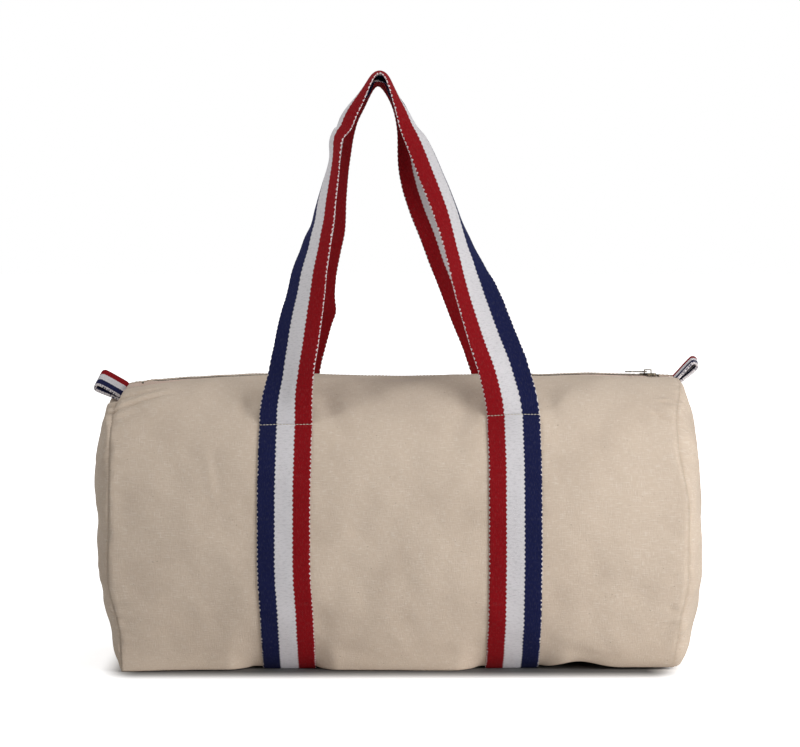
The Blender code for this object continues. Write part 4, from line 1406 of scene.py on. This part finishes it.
@dataclass
class Zip:
    """The zip: two woven tapes, two rows of metal teeth, and the binding tape of the end seams inside the bag."""

    form: BagForm
    tape: bpy.types.Material
    nickel: bpy.types.Material
    pitch: float = 2.25 * MM
    half_length: float = 0.2466
    tape_inner: float = 2.3 * MM
    tape_outer: float = 19.1 * MM
    tape_depth: float = 1.8 * MM
    tape_slack: float = 0.15 * MM
    tape_thickness: float = 0.6 * MM
    tape_grid: tuple = (280, 12)
    # Beyond the teeth the tapes close to this half gap, over these lengths
    closed_gap: float = 0.25 * MM
    left_fade: tuple = (-0.2330, 0.004)
    right_growth: tuple = (0.2405, 0.003)
    # The tape drops to the canvas edge over the first length, and comes up again under the canvas over the second
    drop_growth: tuple = (3.4 * MM, 5.6 * MM)
    drop_fade: tuple = (0.05, 0.041)
    slider_at: float = 0.233
    slider_length: float = 15 * MM
    slider_nose: float = 5 * MM
    parting: float = 1.9 * MM
    teeth_from: float = -0.2285
    teeth_to: float = 0.2405
    tooth_depth: float = 0.3 * MM
    # Half of a tooth's outline from its back to its tip, and its height with the outline's scale there, in millimetres
    tooth_outline: tuple = ((0.62, -2.9), (0.62, -1.6), (0.40, -0.7), (0.52, 0.3), (0.40, 0.95))
    tooth_levels: tuple = ((-1.0, 0.86), (-0.7, 1.0), (0.7, 1.0), (1.0, 0.86))
    stop_at: float = -0.2310
    stop_depth: float = 2.6 * MM
    stop_half: tuple = (1.3 * MM, 5.0 * MM, 1.5 * MM)
    stop_grid: tuple = (7, 20)
    # The powers of its plan along and across, and how far its top and bottom draw in along and what share across
    stop_powers: tuple = (0.5, 0.6)
    stop_rounding: tuple = (0.55, 0.3)
    binding_width: float = 10 * MM
    binding_thickness: float = 1.8 * MM
    binding_clearance: float = 1.5 * MM
    binding_grid: tuple = (300, 7)
    nickel_nodes: tuple = ("zip_slider", "zip_puller", "zip_top_stop_front", "zip_top_stop_back")

    def build(self) -> None:
        """Make tapes, teeth and bindings, and give the metal parts their finish."""
        for face in Face:
            self.add_tape(face)
            self.add_teeth(face)
        for end in End:
            self.add_binding(end)
        self.add_bottom_stop()
        for name in self.nickel_nodes:
            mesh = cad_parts[name].data
            mesh.materials.clear()
            mesh.materials.append(self.nickel)

    def spread(self, x: Array) -> Array:
        """How far each row stands off the closed line: nothing up to the slider, then round its post."""
        start = self.slider_at - self.slider_length / 2
        return self.parting * grows(x, start, self.slider_length - self.slider_nose)

    def add_tape(self, face: Face) -> None:
        """One tape, flat beside the teeth and drawn down to the canvas edge that it is sewn under.

        Args:
            face: the side of the zip.
        """
        form = self.form
        x = np.linspace(-self.half_length, self.half_length, self.tape_grid[0])[:, None]
        ends = grows(x, *self.right_growth) + fades(x, *self.left_fade)
        inner = (self.tape_inner + self.spread(x)) * (1 - ends) + self.closed_gap * ends
        near = inner + (self.tape_outer - inner) * np.linspace(0, 1, self.tape_grid[1])
        grid_x = np.broadcast_to(x, near.shape)
        girth = near if face is Face.FRONT else form.full - near
        drop = form.sink(grid_x, face) * grows(near, *self.drop_growth) * fades(near, *self.drop_fade)
        low = -self.tape_depth - drop - self.tape_slack
        points = np.stack([form.place(grid_x, girth, low - t) for t in (0.0, self.tape_thickness)])
        cloth = np.stack([np.stack((near, grid_x), axis=-1)] * 2)
        piece = add_piece("zip_tape_" + face.value, points, slab_cells(*near.shape), self.tape, cloth)
        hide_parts(*(f"zip_tape_{face.value}_{part}" for part in ("left", "middle", "right")))
        CanvasShell.fold(piece, face, np.stack([form.mouth(grid_x)] * 2))

    def add_teeth(self, face: Face) -> None:
        """One row of teeth: a waisted block at every pitch, between those of the other row.

        Args:
            face: the side of the zip.
        """
        form = self.form
        outline = [(-px, py) for px, py in self.tooth_outline[:1]] + list(self.tooth_outline)
        outline += [(-px, py) for px, py in self.tooth_outline[:0:-1]]
        shape = [[(px * scale, py * scale, level) for px, py in outline] for level, scale in self.tooth_levels]
        shape = np.array(shape) * MM
        x = np.arange(self.teeth_from + (face is Face.BACK) * self.pitch / 2, self.teeth_to, self.pitch)
        height = form.place(x, np.zeros(len(x)), -self.tape_depth - self.tooth_depth)[:, 2]
        origins = np.stack((x, face.sign * self.spread(x), height), axis=1)
        axes = np.broadcast_to(np.diag((1.0, -face.sign, 1.0)), (len(x), 3, 3))
        points, faces = stamp(shape.reshape(-1, 3), tube_cells(*shape.shape[:2]), origins, axes)
        piece = add_piece("zip_teeth_" + face.value, points, faces, self.nickel, rounded=False)
        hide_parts(*(f"zip_teeth_{face.value}_{part}" for part in ("left", "middle", "right")))
        CanvasShell.fold(piece, face, np.repeat(form.mouth(x), shape.shape[0] * shape.shape[1]))

    def add_bottom_stop(self) -> None:
        """The stop at the zip's left end: a rounded clip over both tapes, a superellipse in plan and in section."""
        half_x, half_y, half_z = self.stop_half
        turn = np.arange(self.stop_grid[1]) / self.stop_grid[1] * 2 * math.pi
        level = np.linspace(-1, 1, self.stop_grid[0])[:, None]
        shrink = level**4 * self.stop_rounding[0]
        across, along = np.sin(turn), np.cos(turn)
        plan_x = np.sign(along) * np.abs(along) ** self.stop_powers[0] * half_x * (1 - shrink)
        plan_y = np.sign(across) * np.abs(across) ** self.stop_powers[1] * half_y * (1 - shrink * self.stop_rounding[1])
        middle = self.form.place(np.array([self.stop_at]), np.zeros(1), -self.stop_depth)[0]
        points = middle + np.stack((plan_x, plan_y, np.broadcast_to(level * half_z, plan_x.shape)), axis=-1)
        piece = add_piece("zip_end_clip", points, tube_cells(*plan_x.shape), self.nickel)
        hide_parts("zip_bottom_stop")
        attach(piece, "bag")

    def add_binding(self, end: End) -> None:
        """The tape over the raw edges of an end seam, just inside the canvas.

        Args:
            end: which end.
        """
        form = self.form
        start = self.tape_outer + self.binding_clearance
        girth = np.linspace(start, form.full - start, self.binding_grid[0])[:, None]
        x = end.sign * (form.half_length - self.binding_width * np.linspace(1, 0, self.binding_grid[1]))
        grid_x, grid = np.broadcast_arrays(x, girth)
        points = [form.over(grid_x, grid, -self.tape_depth - t) for t in (0.0, self.binding_thickness)]
        cloth = np.stack([np.stack((grid_x, grid), axis=-1)] * 2)
        piece = add_piece("binding_tape_" + end.value, np.stack(points), slab_cells(*grid.shape), self.tape, cloth)
        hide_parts("seam_binding_" + end.value)
        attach(piece, "bag")


@dataclass
class TabLoop:
    """A short length of narrow tricolour tape, folded in two and sewn into the end of the zip's seam.

    Its path rises from the seam, leans outwards and ends in a round fold, and the tape slants so that its front
    edge hangs lower than its back edge by a share of the width, and lies to its left by the lean's share.
    """

    form: BagForm
    webbing: bpy.types.Material
    end: End
    reach: float
    rise_share: float
    slant: float
    loop_radius: float
    drop: float
    lean: float
    zip_height: float = 0.265
    width: float = 18 * MM
    stripes_width: float = 48 * MM
    thickness: float = 2.5 * MM
    layer_gap: float = 0.3 * MM
    tail: float = 7 * MM
    straight_short: float = 3 * MM
    bend_length: float = 6 * MM
    stations: int = 60
    fold_stations: int = 22
    across_count: int = 16
    edge: float = 0.8 * MM

    def build(self) -> None:
        """Make the loop: the spine offset to both sides by half the loop's swell, joined by a half circle."""
        layer = (self.thickness + self.layer_gap) / 2
        length = self.tail + self.reach - self.loop_radius
        way = np.linspace(0, length, self.stations)
        straight = self.tail - self.straight_short
        angle = math.pi / 2 * (1 - (1 - self.rise_share) * grows(way, straight, self.bend_length))
        seam = self.form.half_length + self.form.seam_reach[self.end is End.RIGHT][-1][1] * MM
        start = np.array((seam - layer - self.thickness / 2, self.zip_height - self.drop - self.tail))
        steps = np.stack((np.cos(angle), np.sin(angle)), axis=1)[:-1] * way[1]
        spine = start + np.concatenate((np.zeros((1, 2)), np.cumsum(steps, axis=0)))
        swell = layer + (self.loop_radius - layer) * grows(way, straight, length - straight)
        side = np.stack((-np.sin(angle), np.cos(angle)), axis=1) * swell[:, None]
        turn = angle[-1] - math.pi / 2 + np.linspace(0, math.pi, self.fold_stations)[1:-1]
        fold = np.stack((np.cos(turn), np.sin(turn)), axis=1) * self.loop_radius
        path = np.concatenate((spine - side, spine[-1] + fold, (spine + side)[::-1]))
        tangents = unit(np.gradient(path, axis=0))
        facing = np.stack((tangents[:, 1], -tangents[:, 0]), axis=1)[:, None]
        tape = Ribbon(self.width, self.thickness, self.across_count, self.edge)
        y = tape.places() - self.width / 2
        y, halves = np.concatenate((y, y[::-1])), np.concatenate((tape.halves(), -tape.halves()[::-1]))
        plane = path[:, None] + facing * halves[:, None]
        out = smooth(np.concatenate((way, np.full(len(turn), length), way[::-1])) / self.tail)[:, None] * y
        x = self.end.sign * plane[..., 0] + self.lean * out
        points = np.stack((x, np.broadcast_to(y, x.shape), plane[..., 1] + self.slant * out), axis=-1)
        along = np.concatenate(([0], np.cumsum(np.linalg.norm(np.diff(path, axis=0), axis=1))))
        cloth = tape.cloth(along)
        cloth[..., 0] = self.stripes_width * (1 - cloth[..., 0] / self.width)
        piece = add_piece("tab_tape_" + self.end.value, points, tube_cells(*x.shape), self.webbing, cloth)
        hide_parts("tab_loop_" + self.end.value)
        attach(piece, "bag")


# ---------------------------------------------------------------- studio


@dataclass
class Studio:
    """The white floor, the soft lamps and the camera of the photograph's view."""

    camera_at: tuple = (0.0024, -3.635, 0.400)
    camera_aim: tuple = (0.0024, -0.135, 0.270)
    focal_length: float = 175.8
    # Each lamp's name, where it stands, what it points at, its side in metres, its watts and its beam in degrees
    lamps: tuple = (
        ("key_lamp", (1.10, -0.98, 0.42), (0, 0, 0.16), 0.8, 12.5, 180.0),
        ("top_lamp", (0.1, 0.1, 1.5), (0, 0, 0), 1.2, 3.9, 180.0),
        ("side_lamp", (-1.05, -0.55, 0.85), (-0.04, -0.08, 0.43), 0.3, 0.18, 32.0),
    )
    ambient: float = 0.34
    floor_reach: float = 30.0
    floor_grey: tuple = (0.85, 0.85, 0.85, 1.0)
    # The shadow's half sizes and its middle on the floor, and how much faster it fades along x and y
    footprint: tuple = (0.229, 0.119, 0.0)
    shadow_shift: tuple = (-0.004, 0.0, 0.0)
    fade_scale: tuple = (2.0, 1.0, 0.0)
    # What the floor gives off and how pale it is, from one distance to another: (from, to, value there, value here)
    far_glow: tuple = (0.4, 1.1, 0.0, 0.38)
    near_glow: tuple = (0.025, 0.080, 0.0, 0.70)
    # Painted contact shadow: the floor's colour is darker beside the bag, by this ramp of its paleness
    painted_shadow_paleness: tuple = (-0.006, 0.055, 0.14, 1.0)

    def build(self) -> None:
        """Set up floor, light and camera."""
        scene = bpy.context.scene
        scene.view_settings.view_transform = "Standard"
        self.add_floor()
        self.add_world()
        for lamp in self.lamps:
            self.add_lamp(*lamp)
        data = bpy.data.cameras.new("camera")
        data.lens = self.focal_length
        scene.camera = self.stand("camera", data, self.camera_at, self.camera_aim)

    @staticmethod
    def stand(name: str, data: bpy.types.ID, at: tuple, aim: tuple) -> bpy.types.Object:
        """Put a lamp or a camera in its place.

        Args:
            name: its name.
            data: the lamp or camera.
            at: where it stands.
            aim: what it points at.

        Returns:
            The new object.
        """
        made = bpy.data.objects.new(name, data)
        made.location = at
        made.rotation_euler = (Vector(aim) - Vector(at)).to_track_quat("-Z", "Y").to_euler()
        bpy.context.scene.collection.objects.link(made)
        return made

    @staticmethod
    def seen(tree: bpy.types.NodeTree) -> bpy.types.Node:
        """A share of 1 for the rays that show the background: from the camera, off gloss and through glass.

        Args:
            tree: the node tree.

        Returns:
            The last node of the sum.
        """
        rays = add_node(tree, "LightPath").outputs
        share = add_node(tree, "Math", rays["Is Camera Ray"], rays["Is Glossy Ray"], operation="MAXIMUM")
        return add_node(tree, "Math", share, rays["Is Transmission Ray"], operation="MAXIMUM")

    def add_floor(self) -> None:
        """A white floor: beside the bag its glow fades so the shadow shows, and it is painted darker, a painted contact
        shadow.

        The distance beside the bag is the length of what is left of the place, without its sign, once the
        footprint's half sizes are taken off, and never below zero.
        """
        mesh = bpy.data.meshes.new("floor")
        reach = self.floor_reach
        corners = [(-reach, -reach, 0), (reach, -reach, 0), (reach, reach, 0), (-reach, reach, 0)]
        mesh.from_pydata(corners, [], [(0, 1, 2, 3)])
        made = bpy.data.materials.new("white_floor")
        made.use_nodes = True
        node = partial(add_node, made.node_tree)
        ease = partial(node, "MapRange", interpolation_type="SMOOTHSTEP")
        made.node_tree.nodes.clear()
        seen = self.seen(made.node_tree)
        spot = node("TexCoord").outputs["Object"]
        far = ease(node("VectorMath", spot, operation="LENGTH"), *self.far_glow)
        apart = node("VectorMath", spot, self.shadow_shift, operation="SUBTRACT")
        apart = node("VectorMath", apart, operation="ABSOLUTE")
        apart = node("VectorMath", apart, self.footprint, operation="SUBTRACT")
        apart = node("VectorMath", apart, self.fade_scale, operation="MULTIPLY")
        beside = node("VectorMath", node("VectorMath", apart, operation="MAXIMUM"), operation="LENGTH")
        glow = node("Math", ease(beside, *self.near_glow), far, operation="ADD")
        plain = node("BsdfDiffuse", self.floor_grey)
        # Painted contact shadow: the floor's colour darkens right beside the bag
        lit = node("BsdfDiffuse", ease(beside, *self.painted_shadow_paleness))
        shown = node("AddShader", node("Emission", Color=(1, 1, 1, 1), Strength=glow), lit)
        node("OutputMaterial", node("MixShader", seen, plain, shown))
        mesh.materials.append(made)
        floor = bpy.data.objects.new("floor", mesh)
        bpy.context.scene.collection.objects.link(floor)

    def add_world(self) -> None:
        """White where it is seen, and a plain even light on the object."""
        world = bpy.data.worlds.new("studio")
        world.use_nodes = True
        node = partial(add_node, world.node_tree)
        world.node_tree.nodes.clear()
        seen = self.seen(world.node_tree)
        level = node("Background", (1, 1, 1, 1), self.ambient)
        white = node("Background", (1, 1, 1, 1), 1.0)
        node("OutputWorld", node("MixShader", seen, level, white))
        bpy.context.scene.world = world

    def add_lamp(self, name: str, at: tuple, aim: tuple, size: float, power: float, beam: float) -> None:
        """A square soft lamp.

        Args:
            name: its name.
            at: where it stands.
            aim: what it points at.
            size: its side, in metres.
            power: its power, in watts.
            beam: how wide its beam is, in degrees.
        """
        data = bpy.data.lights.new(name, "AREA")
        data.size = size
        data.energy = power
        data.spread = math.radians(beam)
        self.stand(name, data, at, aim)


def main() -> None:
    """Build the bag's sub-assemblies in order, dress them and set up the studio."""
    logging.basicConfig(level=logging.INFO, format="%(message)s")
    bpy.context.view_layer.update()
    form = BagForm()
    canvas = CottonCanvas("unbleached_cotton_canvas").make()
    webbing = TricolourWebbing("tricolour_cotton_webbing").make()
    narrow = TricolourWebbing("tricolour_cotton_tape", pick=2.4 * MM, rib=1.0 * MM, rim=2.2 * MM).make()
    tape = WovenTape("herringbone_zip_tape").make()
    thread = SewingThread("cotton_thread").make()
    nickel = NickelPlate("bright_nickel_plate").make()
    CanvasShell(form, canvas, thread).build()
    Straps(form, webbing, thread).build()
    Handle(form, webbing, Face.FRONT, FRONT_MARKS, apex_height=0.546).build()
    Handle(form, webbing, Face.BACK, BACK_MARKS, apex_height=0.5375).build()
    Zip(form, tape, nickel).build()
    left = {"reach": 25.5 * MM, "rise_share": 0.28, "slant": 0.74, "lean": 0.33, "loop_radius": 2.8 * MM}
    right = {"reach": 28 * MM, "rise_share": 0.48, "slant": 0.30, "lean": 0.0, "loop_radius": 3.0 * MM}
    TabLoop(form, narrow, End.LEFT, drop=17 * MM, **left).build()
    TabLoop(form, narrow, End.RIGHT, drop=8 * MM, **right).build()
    Studio().build()


if __name__ == "__main__":
    main()
